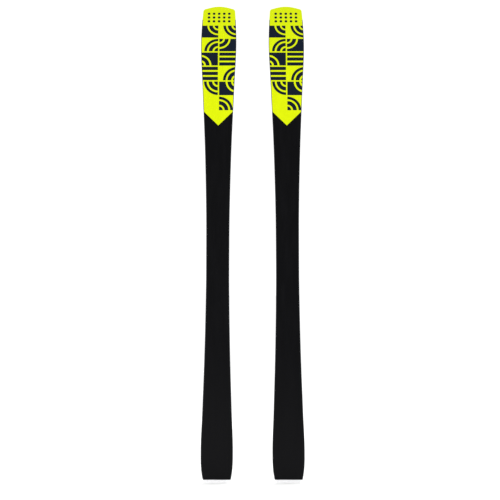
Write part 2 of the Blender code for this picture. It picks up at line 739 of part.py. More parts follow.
def heel_body(hand, binding):
    """Heel housing: hub between the carriage's ears, spring bore, cup for the boot's heel and lever lugs."""
    shell = [
        (-0.239, 0.0330),
        (-0.190, 0.0330),
        (-0.176, 0.0345),
        (-0.160, 0.0355),
        (-0.154, 0.0480),
        (-0.1505, 0.0545),
        (-0.1515, 0.0600),
        (-0.166, 0.0635),
        (-0.190, 0.0625),
        (-0.216, 0.0605),
        (-0.236, 0.0565),
        (-0.240, 0.0490),
    ]
    work = narrowed(extruded(shell, -UNIT_HALF_WIDTH, UNIT_HALF_WIDTH, "X"), 0.042, 0.0635, 0.84)
    body = place(f"{hand}_heel_body", work, binding, "shell", origin=HEEL_PIVOT, smooth_angle=35)
    bevel(body, 2.2 * MM)

    hub = [(-0.2295, 0.0400)]
    for i in range(6):
        angle = math.radians(180 + 28 * i)
        around = HEEL_HUB_RADIUS * Vector((math.cos(angle), math.sin(angle)))
        hub.append((HEEL_PIVOT.z + around.x, HEEL_PIVOT.y + around.y))
    hub += [(-0.204, 0.0215), (-0.188, 0.0275), (-0.182, 0.0400)]
    add(body, "hub", extruded(hub, -0.0218, 0.0218, "X"))
    cup = heel_arc(0.0435, range(-52, 53, 13)) + heel_arc(0.0300, range(52, -53, -13))
    add(body, "cup", extruded(cup, 0.0345, 0.0600, "Y"), rounding=2.0 * MM)
    heel_centre = HEEL_RADIUS - SOLE_HALF_LENGTH
    cut(body, "heel_space", cylinder(HEEL_RADIUS, 0.0, HEEL_LUG_TOP, (0.0, heel_centre), "Y", 48))
    cut(body, "spring_bore", cylinder(HEEL_BORE_RADIUS, -0.250, -0.186, (0.0, HEEL_BORE_Y), "Z"))
    stubs = cylinder(HEEL_STUB_RADIUS, -0.0268, 0.0268, (HEEL_PIVOT.y, HEEL_PIVOT.z), "X", 16)
    add(body, "pivot_stubs", stubs)

    lug = [(LEVER_PIVOT.z - LUG_RADIUS, 0.0570), (LEVER_PIVOT.z + LUG_RADIUS, 0.0570)]
    for i in range(7):
        angle = math.radians(30 * i)
        lug.append((LEVER_PIVOT.z + LUG_RADIUS * math.cos(angle), LEVER_PIVOT.y + LUG_RADIUS * math.sin(angle)))
    lugs = [extruded(lug, *sorted((side * LUG_INSIDE, side * LUG_OUTSIDE)), "X") for side in (-1, 1)]
    add(body, "lever_lugs", together(lugs))
    add(body, "lever_pin", cylinder(LEVER_PIN_RADIUS, -0.013, 0.013, (LEVER_PIVOT.y, LEVER_PIVOT.z), "X", 12))


def heel_lever(hand, binding):
    """Opening lever: a neck on the body's pin and a handle with a recess for a ski pole's tip."""
    handle = [
        (-0.2135, 0.0662),
        (-0.2135, 0.0722),
        (-0.240, 0.0800),
        (-0.262, 0.0818),
        (-0.267, 0.0795),
        (-0.264, 0.0765),
        (-0.240, 0.0738),
    ]
    work = extruded(handle, -LEVER_HALF_WIDTH, LEVER_HALF_WIDTH, "X")
    lever = place(f"{hand}_heel_lever", work, binding, "shell", origin=LEVER_PIVOT, smooth_angle=35)
    bevel(lever, 1.4 * MM)
    neck = [(-0.206, 0.0640), (-0.206, 0.0712), (-0.222, 0.0735), (-0.222, 0.0676)]
    add(lever, "neck", extruded(neck, -NECK_HALF_WIDTH, NECK_HALF_WIDTH, "X"))
    pivot = (LEVER_PIVOT.y, LEVER_PIVOT.z)
    add(lever, "barrel", cylinder(LEVER_BARREL_RADIUS, -NECK_HALF_WIDTH, NECK_HALF_WIDTH, pivot, "X", 16))
    hole = cylinder(LEVER_PIN_RADIUS + RUNNING_CLEARANCE, -0.020, 0.020, pivot, "X", 12)
    cut(lever, "pin_hole", hole)
    cut(lever, "pole_recess", cylinder(POLE_RECESS_RADIUS, 0.0788, 0.095, (0.0, -0.251), "Y", 20))


def make_heel(hand, binding):
    """Heel unit of one binding."""
    heel_track(hand, binding)
    heel_carriage(hand, binding)
    forward_pressure_screw(hand, binding)
    heel_body(hand, binding)
    heel_lever(hand, binding)
    coil(f"{hand}_heel_spring", 0.0068, 0.0015, -0.2245, -0.1885, HEEL_BORE_Y, 5, binding)
    slotted_screw(f"{hand}_heel_din_screw", 0.0089, -0.2415, -0.2255, HEEL_BORE_Y, -1, binding)


# ---------------------------------------------------------------- brake


def brake_axis(side):
    """Hinge axis of a brake arm: across the ski, tilted up and forwards on its outer side."""
    lean = math.cos(BRAKE_TILT) * math.cos(BRAKE_TOE_IN)
    return Vector((side * lean, math.sin(BRAKE_TILT), math.sin(BRAKE_TOE_IN))).normalized()


def along_brake_axis(side, x):
    """Point of a brake arm's hinge axis at a distance x out from the ski's middle."""
    axis = brake_axis(1)
    point = BRAKE_PIVOT + axis * ((x - BRAKE_PIVOT.x) / axis.x)
    return Vector((side * point.x, point.y, point.z))


def brake_plate(hand, binding):
    """Plate under the boot's heel with a bearing ear at each side."""
    half = [(0.0235, -0.088), (0.0235, -0.1375), (0.0340, -0.1375), (0.0340, -0.1545)]
    outline = half + [(-x, z) for x, z in reversed(half)]
    plate = place(f"{hand}_brake_plate", extruded(outline, GAP, 0.0085, "Y"), binding, "moulded")
    for side in (-1, 1):
        where = position_name(hand, side)
        across = sorted((side * BRAKE_EAR_INSIDE, side * BRAKE_EAR_OUTSIDE))
        ear = box(across, (GAP, BRAKE_EAR_TOP), BRAKE_EAR_Z)
        add(plate, f"ear_{where}", ear, rounding=1.2 * MM)
        bore = PEDAL_PIN_RADIUS + RUNNING_CLEARANCE
        depth = sorted((side * 0.0200, side * 0.0282))
        socket = cylinder(bore, *depth, (PEDAL_PIVOT.y, PEDAL_PIVOT.z), "X", 12)
        cut(plate, f"pedal_socket_{where}", socket)
        start = along_brake_axis(side, 0.0308)
        end = along_brake_axis(side, 0.0400)
        hole = cylinder(BRAKE_WIRE_RADIUS + RUNNING_CLEARANCE, 0.0, (end - start).length, (0.0, 0.0), "Z", 12)
        turn = (end - start).to_track_quat("Z", "Y").to_matrix().to_4x4()
        bmesh.ops.transform(hole, matrix=Matrix.Translation(start) @ turn, verts=hole.verts)
        cut(plate, f"arm_hole_{where}", hole)


def brake_pedal(hand, binding):
    """Pedal under the boot's heel, on two stub pins."""
    profile = [
        (-0.1460, 0.0096),
        (-0.0970, 0.0096),
        (-0.0925, 0.0125),
        (-0.0940, 0.0170),
        (-0.1180, 0.0205),
        (-0.1460, 0.0190),
    ]
    work = extruded(profile, -PEDAL_HALF_WIDTH, PEDAL_HALF_WIDTH, "X")
    pedal = place(f"{hand}_brake_pedal", work, binding, "moulded", origin=PEDAL_PIVOT)
    bevel(pedal, 1.2 * MM)
    pivot = (PEDAL_PIVOT.y, PEDAL_PIVOT.z)
    add(pedal, "barrel", cylinder(PEDAL_BARREL_RADIUS, -0.0232, 0.0232, pivot, "X", 16))
    add(pedal, "stub_pins", cylinder(PEDAL_PIN_RADIUS, -0.0275, 0.0275, pivot, "X", 12))


def wire_mesh(name, points, radius):
    """Closed mesh of a round wire through points."""
    line = bpy.data.curves.new(name, "CURVE")
    line.dimensions = "3D"
    line.bevel_depth = radius
    line.bevel_resolution = 3
    line.use_fill_caps = True
    spline = line.splines.new("POLY")
    spline.points.add(len(points) - 1)
    for target, point in zip(spline.points, points):
        target.co = (*point, 1.0)
    guide = bpy.data.objects.new(name, line)
    cutters.objects.link(guide)
    bpy.context.view_layer.update()
    evaluated = guide.evaluated_get(bpy.context.evaluated_depsgraph_get())
    mesh = bpy.data.meshes.new_from_object(evaluated)
    bpy.data.objects.remove(guide, do_unlink=True)
    work = bmesh.new()
    work.from_mesh(mesh)
    bmesh.ops.remove_doubles(work, verts=work.verts, dist=1e-6)
    return work


def brake_arm(hand, side, binding):
    """Bent wire arm, stowed beside the heel unit, with a moulded foot on its end."""
    start = along_brake_axis(side, 0.0312)
    elbow = along_brake_axis(side, BRAKE_ELBOW_X)
    reach = BRAKE_ARM_LENGTH * math.cos(BRAKE_ARM_RISE)
    rise = BRAKE_ARM_LENGTH * math.sin(BRAKE_ARM_RISE)
    end = Vector((side * BRAKE_END_X, elbow.y + rise, elbow.z - reach))
    into = (start - elbow).normalized()
    out = (end - elbow).normalized()
    steps = (0.0, 0.25, 0.5, 0.75, 1.0)
    corner = [elbow + BRAKE_BEND * (into * (1 - t) ** 2 + out * t**2) for t in steps]
    work = wire_mesh("brake_wire", [start, *corner, end], BRAKE_WIRE_RADIUS)
    name = f"{hand}_brake_arm_{position_name(hand, side)}"
    pivot = along_brake_axis(side, BRAKE_PIVOT.x)
    arm = place(name, work, binding, "bright_steel", origin=pivot, smooth_angle=50)

    outline = [
        (0.034, -0.0045),
        (0.0, -0.0065),
        (-0.007, -0.003),
        (-0.007, 0.004),
        (0.0, 0.0065),
        (0.034, 0.0045),
    ]
    slope = Vector((end.z - elbow.z, end.y - elbow.y)).normalized()
    foot = [
        (end.z - slope.x * along - slope.y * over, end.y - slope.y * along + slope.x * over)
        for along, over in outline
    ]
    limits = sorted((side * FOOT_INSIDE, side * FOOT_OUTSIDE))
    add(arm, "foot", extruded(foot, *limits, "X"), rounding=1.6 * MM)


def make_brake(hand, binding):
    """Brake of one binding."""
    brake_plate(hand, binding)
    brake_pedal(hand, binding)
    for side in (-1, 1):
        brake_arm(hand, side, binding)


# ---------------------------------------------------------------- the pair


for hand, across in SKIS.items():
    ski = bpy.data.objects.new(f"{hand}_ski", None)
    ski.location = (across * SKI_SPACING / 2, 0.0, 0.0)
    binding = bpy.data.objects.new(f"{hand}_binding", None)
    binding.location = (0.0, TOPSHEET_Y, BOOT_CENTRE_Z)
    binding.parent = ski
    parts.objects.link(ski)
    parts.objects.link(binding)
    make_ski(hand, ski)
    make_toe(hand, binding)
    make_heel(hand, binding)
    make_brake(hand, binding)
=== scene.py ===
"""Looks of the pair of alpine skis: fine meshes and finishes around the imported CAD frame.

Metres, in the CAD's frame: Z up along the skis, X across the pair, bases facing -Y. The origin is the
centre of the pair's footprint. Ski stations are heights Z, and binding places are (across, up, forward)
from the boot's centre on the topsheet.
"""

import json
import math

import bmesh
import bpy
from mathutils import Matrix, Vector

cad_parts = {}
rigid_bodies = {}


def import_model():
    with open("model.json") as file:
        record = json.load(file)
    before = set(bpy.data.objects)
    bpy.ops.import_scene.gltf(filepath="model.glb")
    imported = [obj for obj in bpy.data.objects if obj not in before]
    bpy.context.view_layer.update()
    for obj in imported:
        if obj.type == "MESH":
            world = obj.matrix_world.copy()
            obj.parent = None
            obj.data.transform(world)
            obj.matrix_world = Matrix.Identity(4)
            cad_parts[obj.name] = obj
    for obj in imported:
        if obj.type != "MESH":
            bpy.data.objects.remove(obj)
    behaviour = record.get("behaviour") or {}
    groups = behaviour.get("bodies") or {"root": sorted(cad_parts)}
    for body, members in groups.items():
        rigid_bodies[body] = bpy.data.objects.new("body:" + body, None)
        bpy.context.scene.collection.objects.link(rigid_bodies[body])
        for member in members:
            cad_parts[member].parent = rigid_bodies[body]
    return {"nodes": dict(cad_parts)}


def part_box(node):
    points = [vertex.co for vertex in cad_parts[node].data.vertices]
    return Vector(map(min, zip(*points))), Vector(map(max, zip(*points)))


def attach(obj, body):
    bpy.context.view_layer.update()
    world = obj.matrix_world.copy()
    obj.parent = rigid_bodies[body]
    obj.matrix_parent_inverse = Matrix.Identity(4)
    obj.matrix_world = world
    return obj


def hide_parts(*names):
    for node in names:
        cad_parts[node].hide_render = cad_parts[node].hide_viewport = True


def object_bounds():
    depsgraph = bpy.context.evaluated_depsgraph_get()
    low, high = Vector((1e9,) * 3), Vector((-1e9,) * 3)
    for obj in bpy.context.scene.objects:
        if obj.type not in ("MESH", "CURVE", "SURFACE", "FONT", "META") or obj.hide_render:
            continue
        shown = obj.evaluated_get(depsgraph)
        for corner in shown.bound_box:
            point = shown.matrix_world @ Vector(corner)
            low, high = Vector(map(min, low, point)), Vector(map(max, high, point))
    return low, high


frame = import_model()
cad_low, cad_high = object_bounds()
topsheet_low, topsheet_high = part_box("left_topsheet")

MM = 0.001
SIDES = {"left": -1, "right": 1}

# Outline and profile of one ski, as the CAD has them but for the curve of the tip's crown
SKI_CENTRE = -(topsheet_low.x + topsheet_high.x) / 2
SKI_LENGTH = cad_high.z - cad_low.z
CONTACT_PLANE_Y = -0.0496
TAIL_END_HALF_WIDTH = 0.0463
TAIL_WIDE_Z = 0.108
SHOVEL_WIDE_Z = 1.590
SIDECUT = (
    (TAIL_WIDE_Z, 0.0566),
    (0.247, 0.0518),
    (0.457, 0.0454),
    (0.672, 0.0418),
    (0.800, 0.0416),
    (0.966, 0.0428),
    (1.190, 0.0485),
    (1.416, 0.0581),
    (SHOVEL_WIDE_Z, 0.0654),
)
TIP_CORNER_Z = 1.728
TIP_CORNER_HALF_WIDTH = 0.0600
TIP_CROWN_DROP = 0.0105
TIP_CORNER_RADIUS = 0.0125
TIP_CORNER_ANGLES = (6, 72)
TIP_CROWN_POWER = 1.2
TIP_SIDE_END_Z = 1.722
TAIL_CONTACT_Z = 0.090
TIP_CONTACT_Z = 1.460
CAMBER = 0.005
PLATEAU_START_Z = 0.530
PLATEAU_END_Z = 1.060
TIP_RISE = 0.058
TAIL_RISE = 0.008
THICKNESS_UNDERFOOT = 0.0125
THICKNESS_ENDS = 0.0062
SIDE_SLANT = 0.13

# Sandwich, as lifts from the running surface or depths from the topsheet's face
BASE_THICKNESS = 1.35 * MM
EDGE_WIDTH = 2.0 * MM
EDGE_HEIGHT = 2.0 * MM
EDGE_FLANGE_START = 1.6 * MM
EDGE_FLANGE_WIDTH = 4.5 * MM
LAMINATE_START = 2.05 * MM
LAMINATE_END = 2.95 * MM
CORE_START = 3.0 * MM
CORE_TOP_DEPTH = 1.50 * MM
UPPER_LAMINATE_DEPTH = 1.45 * MM
TOPSHEET_THICKNESS = 0.60 * MM
SIDEWALL_WIDTH = 5.5 * MM
SHELL_INSET = 0.35 * MM
SEAM = 0.05 * MM
INLAY_STEP = 0.02 * MM

# Ends of the layers
BASE_START_Z = 0.0090
CORE_START_Z = 0.0370
CORE_END_Z = 1.600
EDGE_START_Z = 0.0095
EDGE_END_Z = 1.690
SEAM_SIDE_Z = 1.325
SEAM_APEX_Z = 1.274
TAIL_CORNER_RADIUS = 0.0085
TAIL_CAP_STEP = 0.2 * MM
TAIL_RIVET = (0.022, 0.026)
TAIL_RIVET_TURN = -5
STATION_STEP = 0.010

# Printed blocks of the tip: columns either side of the middle, and tiles up each column
COLUMN_GAP = 4.5 * MM
COLUMN_TOP_Z = 1.664
LEFT_COLUMN_START_Z = 1.388
RIGHT_COLUMN_START_Z = 1.331
TILE_GAP = 5.0 * MM
RING_BANDS = ((0.0, 14 * MM), (20.5 * MM, 34.5 * MM), (41 * MM, 51 * MM))
DOT_ROWS_Z = (1.683, 1.700, 1.717)
DOT_COLUMNS = 5
DOT_SPACING = 19 * MM
DOT_RADIUS = 5.2 * MM

# Colours of the base and of the topsheet's print, and the print's chevrons by their heights
BASE_BLACK = (0.0022, 0.0022, 0.0027)
# Lighter black the base turns to towards its tail: a painted sheen.
BLACK_PAINTED_SHEEN = (0.0054, 0.0054, 0.0060)
YELLOW = (0.570, 0.674, 0.0012)
# Yellow a little darker at the curled tip: painted shade.
TIP_YELLOW_PAINTED_SHADE = (0.560, 0.665, 0.0030)
NAVY = (0.0050, 0.0088, 0.0180)
# Navy a little lighter at the tip: painted light.
TIP_NAVY_PAINTED_LIGHT = (0.0060, 0.0100, 0.0190)
# Heights over which the tip's painted shade and painted light come in.
PAINTED_LIGHT_TIP = (1.52, 1.73)
# Heights over which the painted sheen comes in towards the tail.
PAINTED_SHEEN_TAIL = (0.50, 0.0)
TOPSHEET_YELLOW = (0.55, 0.64, 0.006)
TOPSHEET_BANDS = (
    (1.262, 1.760, TOPSHEET_YELLOW),
    (1.238, 1.244, TOPSHEET_YELLOW),
    (1.226, 1.229, TOPSHEET_YELLOW),
    (0.120, 0.126, TOPSHEET_YELLOW),
    (-0.01, 0.060, NAVY),
    (1.300, 1.316, NAVY),
    (1.334, 1.338, NAVY),
)

# Looks. Bases: colour, wax, painted light colour (a painted sheen at the black base's tail, painted shade at
# the yellow tip), the heights it comes in over, specular. Steels: colour, roughness, how the lines are drawn
# out, stain.
# Plastics: colour, roughness, size of the grain, rubbed colour, specular
BASE_LOOKS = {
    "base_black": (BASE_BLACK, (0.0050, 0.0050, 0.0058), BLACK_PAINTED_SHEEN, PAINTED_SHEEN_TAIL, 0.03),
    "base_yellow": (YELLOW, (0.655, 0.762, 0.003), TIP_YELLOW_PAINTED_SHADE, PAINTED_LIGHT_TIP, 0.04),
    "base_navy": (NAVY, (0.008, 0.013, 0.024), TIP_NAVY_PAINTED_LIGHT, PAINTED_LIGHT_TIP, 0.03),
}
STEEL_LOOKS = {
    "edge_steel": ((0.055, 0.056, 0.060), 0.26, (1.0, 1.0, 80.0), (0.025, 0.025, 0.028)),
    "tail_aluminium": ((0.94, 0.94, 0.95), 0.30, (60.0, 1.0, 1.0), (0.80, 0.80, 0.81)),
    "spring_steel": ((0.34, 0.33, 0.31), 0.26, (1.0, 1.0, 1.0), (0.20, 0.17, 0.13)),
    "screw_steel": ((0.50, 0.50, 0.48), 0.22, (1.0, 1.0, 1.0), (0.30, 0.28, 0.22)),
    "track_steel": ((0.46, 0.47, 0.48), 0.28, (1.0, 1.0, 30.0), (0.30, 0.30, 0.30)),
    "brake_steel": ((0.52, 0.53, 0.54), 0.20, (1.0, 1.0, 25.0), (0.34, 0.33, 0.31)),
}
PLASTIC_LOOKS = {
    "spacer_plastic": ((0.04, 0.04, 0.042), 0.45, 0.4 * MM, (0.10, 0.10, 0.10), 0.5),
    "binding_moulded": ((0.012, 0.0125, 0.014), 0.50, 0.35 * MM, (0.07, 0.07, 0.075), 0.22),
    "binding_shell": ((0.008, 0.0085, 0.010), 0.34, 0.18 * MM, (0.08, 0.08, 0.09), 0.28),
    "binding_wing": ((0.022, 0.023, 0.026), 0.38, 0.22 * MM, (0.11, 0.11, 0.12), 0.28),
    "binding_lever": ((0.50, 0.60, 0.01), 0.34, 0.22 * MM, (0.62, 0.70, 0.20), 0.4),
    "rubber": ((0.016, 0.016, 0.017), 0.62, 0.5 * MM, (0.05, 0.05, 0.05), 0.25),
    "afd_plastic": ((0.50, 0.51, 0.52), 0.32, 0.4 * MM, (0.28, 0.28, 0.29), 0.5),
}
NODE_FINISHES = {
    "core": "core_wood",
    "toe_base_plate": "binding_moulded",
    "toe_housing": "binding_shell",
    "toe_spring": "spring_steel",
    "toe_din_screw": "screw_steel",
    "afd_slider": "afd_plastic",
    "heel_carriage": "binding_moulded",
    "forward_pressure_screw": "screw_steel",
    "heel_body": "binding_shell",
    "heel_spring": "spring_steel",
    "heel_din_screw": "screw_steel",
    "heel_lever": "binding_lever",
    "brake_plate": "binding_moulded",
    "brake_pedal": "binding_moulded",
}

# Binding, as (across, up, forward) from the boot's centre on the topsheet
BOOT_CENTRE_Z = 0.800
TOPSHEET_Y = CONTACT_PLANE_Y + CAMBER + THICKNESS_UNDERFOOT
SOLE_HALF_LENGTH = 0.1575
TOE_RADIUS = 0.0365
TOE_LUG_TOP = 0.0415
LIP_RADIUS = 0.0295
WING_PIVOT = (0.0210, 0.1840)
WING_HUB_RADIUS = 6.6 * MM
WING_HOLE_RADIUS = 3.3 * MM
WING_BOTTOM = 0.0245
WING_TOP = 0.0475
SLIDER_TOP = 0.0220
SLIDER_MIDDLE = 0.143
RIDGE_COUNT = 6
RIDGE_SPACING = 6.8 * MM
COVER_HALF_WIDTH = 0.0135
COVER_PROFILE = ((0.180, 0.0515), (0.180, 0.0536), (0.203, 0.0543), (0.2215, 0.0494), (0.2215, 0.0470))
TOE_WINDOW = (0.0, 0.0402, 0.2330)
TOE_WINDOW_SLOPE = 46
HEEL_WINDOW = (0.0, 0.0632, -0.1780)
HEEL_WINDOW_SLOPE = -2
TOE_SCREW_ACROSS = 0.0277
TOE_SCREWS_FORWARD = (0.1265, 0.1600)
TOE_SCREW_SEAT = 0.9 * MM
TRACK_SCREW_ACROSS = 0.0130
TRACK_SCREWS_FORWARD = (-0.2515, -0.1620)
TRACK_SCREW_SEAT = 0.6 * MM
TOE_PLATE_TOP = 0.0155
TRACK_FOOT = 0.0190
TRACK_HEAD = 0.0220
TRACK_HEAD_START = 0.0035
TRACK_TOP = 0.0075
TRACK_ENDS = (-0.256, -0.1565)
TRACK_SLOT_PITCH = 3.6 * MM
HEEL_PIVOT = Vector((0.0, 0.0230, -0.2220))
EAR_OUTSIDE = 0.0270
LEVER_PIVOT = Vector((0.0, 0.0675, -0.2060))
LUG_OUTSIDE = 0.0165
BRAKE_PIVOT = Vector((0.0360, 0.0180, -0.1460))
BRAKE_TILT = math.radians(20)
BRAKE_TOE_IN = math.radians(16)
BRAKE_WIRE_RADIUS = 2.5 * MM
BRAKE_START_X = 0.0312
BRAKE_ELBOW_X = 0.0395
BRAKE_END_X = 0.0385
BRAKE_ARM_LENGTH = 0.090
BRAKE_ARM_RISE = math.radians(14)
BRAKE_BEND = 5.0 * MM
FOOT_INSIDE = 0.0350
FOOT_OUTSIDE = 0.0414
FIN_DEPTH = 0.3 * MM
FIN_PITCH = 6.0 * MM
FIN_LENGTH = 2.5 * MM
FIN_HALF_HEIGHT = 3.5 * MM
RIB_RADIUS = 1.2 * MM
PEDAL_RIBS = ((-0.1385, 0.0194), (-0.1310, 0.0198), (-0.1235, 0.0202), (-0.1125, 0.0197), (-0.1050, 0.0186))

# Floor, lights and camera
CAMERA_DISTANCE = 3.175
CAMERA_SIDE = -0.0094
CAMERA_HEIGHT = 0.418
AIM_HEIGHT = 0.815
LENS = 64.2
FLOOR_GLOW = 0.15
FLOOR_RADIUS = 40.0
FLOOR_GAP = 0.2 * MM
SKY_STRENGTH = 1.12


# ---------- the ski's shape


def smooth(t):
    """Ease from 0 to 1 with no slope at either end."""
    t = min(1.0, max(0.0, t))
    return t * t * (3.0 - 2.0 * t)


def through(points, z):
    """Smooth curve through the points: cubics with slopes taken from the points either side."""
    index = max(i for i, point in enumerate(points[:-1]) if z >= point[0] or i == 0)
    z0, w0 = points[index]
    z1, w1 = points[index + 1]

    def slope(i):
        """Slope of the curve at one of its points."""
        if i in (0, len(points) - 1):
            return 0.0
        return (points[i + 1][1] - points[i - 1][1]) / (points[i + 1][0] - points[i - 1][0])

    span = z1 - z0
    t = (z - z0) / span
    start = (2 * t**3 - 3 * t**2 + 1) * w0 + (t**3 - 2 * t**2 + t) * span * slope(index)
    return start + (3 * t**2 - 2 * t**3) * w1 + (t**3 - t**2) * span * slope(index + 1)


def half_width(z):
    """Half of the ski's width at a height, up to the corners of the tip."""
    if z < TAIL_WIDE_Z:
        wide = SIDECUT[0][1]
        return wide - (wide - TAIL_END_HALF_WIDTH) * (1.0 - z / TAIL_WIDE_Z) ** 3
    if z <= SHOVEL_WIDE_Z:
        return through(SIDECUT, z)
    wide = SIDECUT[-1][1]
    t = (z - SHOVEL_WIDE_Z) / (TIP_CORNER_Z - SHOVEL_WIDE_Z)
    return wide - (wide - TIP_CORNER_HALF_WIDTH) * t**1.7


def plateau(z):
    """1 under the boot, easing to 0 at both contact points."""
    rise = smooth((z - TAIL_CONTACT_Z) / (PLATEAU_START_Z - TAIL_CONTACT_Z))
    fall = smooth((TIP_CONTACT_Z - z) / (TIP_CONTACT_Z - PLATEAU_END_Z))
    return rise * fall


def base_height(z):
    """Height of the running surface over the contact plane: camber between the contacts, rocker beyond."""
    if z < TAIL_CONTACT_Z:
        return TAIL_RISE * (1.0 - z / TAIL_CONTACT_Z) ** 2
    if z > TIP_CONTACT_Z:
        return TIP_RISE * ((z - TIP_CONTACT_Z) / (SKI_LENGTH - TIP_CONTACT_Z)) ** 2
    return CAMBER * plateau(z)


def thickness(z):
    """Thickness of the ski: full under the boot, thin at both ends."""
    return THICKNESS_ENDS + (THICKNESS_UNDERFOOT - THICKNESS_ENDS) * plateau(z)


def on_ski(x, z, lift):
    """Point of one ski: across, height along it, and lift from the running surface along the local normal."""
    step = 0.5 * MM
    slope = (base_height(z + step) - base_height(z - step)) / (2 * step)
    normal = Vector((0.0, 1.0, -slope)).normalized()
    return Vector((x, CONTACT_PLANE_Y + base_height(z), z)) + lift * normal


def stations_between(low, high):
    """Heights inside a layer, clear of its two ends, at the same places in every layer."""
    first = math.ceil((low + STATION_STEP / 4) / STATION_STEP)
    last = math.floor((high - STATION_STEP / 4) / STATION_STEP)
    return [low] + [i * STATION_STEP for i in range(first, last + 1)] + [high]


def side_points(low, high, inset):
    """One side of a layer, upwards, as (across, height) points."""
    return [(half_width(z) - inset, z) for z in stations_between(low, high)]


def arc(centre, radius, start, end, steps=16):
    """Points of an arc about a centre, with angles in degrees from +X."""
    points = []
    for i in range(steps + 1):
        angle = math.radians(start + (end - start) * i / steps)
        points.append((centre[0] + radius * math.cos(angle), centre[1] + radius * math.sin(angle)))
    return points


def tip_edge(inset):
    """Half of the tip's outline, from its corner to the centre line, as (across, height) points."""
    corner_x = TIP_CORNER_HALF_WIDTH - inset
    top = SKI_LENGTH - inset
    radius = TIP_CORNER_RADIUS
    corner_z = top - TIP_CROWN_DROP - radius
    points = arc((corner_x - radius, corner_z), radius, *TIP_CORNER_ANGLES, 8)
    start_x, start_z = points[-1]
    steps = 12
    for i in range(1, steps + 1):
        across = start_x * (1.0 - i / steps)
        crown = 1.0 - (across / start_x) ** 2
        points.append((across, start_z + (top - start_z) * crown**TIP_CROWN_POWER))
    return points


def mirrored(points):
    """Whole outline from its right half, which runs upwards."""
    return points + [(-x, z) for x, z in reversed(points) if x > 1e-6]


def full_outline(low, inset):
    """Outline of a layer that runs from a height near the tail to the tip."""
    return mirrored(side_points(low, TIP_SIDE_END_Z, inset) + tip_edge(inset))


def constant(value):
    """A lift that is the same all along the ski."""
    return lambda z: value


def below_top(depth):
    """A lift measured down from the topsheet's face."""
    return lambda z: thickness(z) - depth


# ---------- mesh helpers


def mesh_from(work, name):
    """Close a bmesh into a mesh with its faces pointing out."""
    bmesh.ops.recalc_face_normals(work, faces=work.faces)
    mesh = bpy.data.meshes.new(name)
    work.to_mesh(mesh)
    work.free()
    return mesh


def together(works):
    """Several separate shapes in one bmesh."""
    whole = bmesh.new()
    for work in works:
        piece = mesh_from(work, "piece")
        whole.from_mesh(piece)
        bpy.data.meshes.remove(piece)
    return whole


def extruded(outline, low, high, axis):
    """Flat outline made solid between two places on an axis. Outlines are (Z, Y), (X, Z) or (X, Y) pairs."""
    work = bmesh.new()
    corners = []
    for a, b in outline:
        point = {"X": (low, b, a), "Y": (a, low, b), "Z": (a, b, low)}[axis]
        corners.append(work.verts.new(point))
    face = work.faces.new(corners)
    sweep = bmesh.ops.extrude_face_region(work, geom=[face])
    raised = [item for item in sweep["geom"] if isinstance(item, bmesh.types.BMVert)]
    shift = {"X": Vector((1, 0, 0)), "Y": Vector((0, 1, 0)), "Z": Vector((0, 0, 1))}[axis]
    bmesh.ops.translate(work, verts=raised, vec=shift * (high - low))
    return work


def bend(work, lift_low, lift_high):
    """Bend a flat plate of bmesh, 0 to 1 thick along Y, onto the ski between two lifts."""
    heights = [vert.co.z for vert in work.verts]
    for z in stations_between(min(heights), max(heights))[1:-1]:
        everything = work.verts[:] + work.edges[:] + work.faces[:]
        bmesh.ops.bisect_plane(work, geom=everything, dist=1e-6, plane_co=(0, 0, z), plane_no=(0, 0, 1))
    for vert in work.verts:
        x, side, z = vert.co
        lift = lift_high(z) if side > 0.5 else lift_low(z)
        slant = SIDE_SLANT * max(0.0, lift - EDGE_HEIGHT)
        vert.co = on_ski(x * (1.0 - slant / half_width(min(z, TIP_CORNER_Z))), z, lift)
    return work


def bent(outline, lift_low, lift_high):
    """Sheet with an outline given as (across, height) pairs, bent to the ski between two lifts."""
    return bend(extruded(outline, 0.0, 1.0, "Y"), lift_low, lift_high)


def skinned(work, rings):
    """Faces between rings of vertices, one after another, and flat ends."""
    for near, far in zip(rings, rings[1:]):
        for i in range(len(near)):
            j = (i + 1) % len(near)
            work.faces.new((near[i], near[j], far[j], far[i]))
    work.faces.new(rings[0])
    work.faces.new(rings[-1])
    return work


def rail(section, side, low, high):
    """Strip along one side of the ski, -1 or 1. section gives the (inset, lift) corners at a height."""
    heights = stations_between(low, high)
    work = bmesh.new()
    rings = []
    for z in heights:
        places = [on_ski(side * (half_width(z) - inset), z, lift) for inset, lift in section(z)]
        rings.append([work.verts.new(place) for place in places])
    return skinned(work, rings)


def shown(name, work, body, slot, replaces, shift, rounding=0.0, angle=32):
    """A visible piece from a bmesh. It rides on a CAD body and stands for the CAD nodes it replaces."""
    bmesh.ops.translate(work, verts=work.verts, vec=shift)
    mesh = mesh_from(work, name)
    mesh.materials.append(FINISHES[slot])
    mesh.shade_smooth()
    mesh.set_sharp_from_angle(angle=math.radians(angle))
    piece = bpy.data.objects.new(name, mesh)
    bpy.context.scene.collection.objects.link(piece)
    if rounding:
        modifier = piece.modifiers.new("round", "BEVEL")
        modifier.width = rounding
        modifier.segments = 2
        modifier.limit_method = "ANGLE"
        modifier.angle_limit = math.radians(angle)
    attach(piece, body)
    if replaces:
        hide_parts(*replaces)


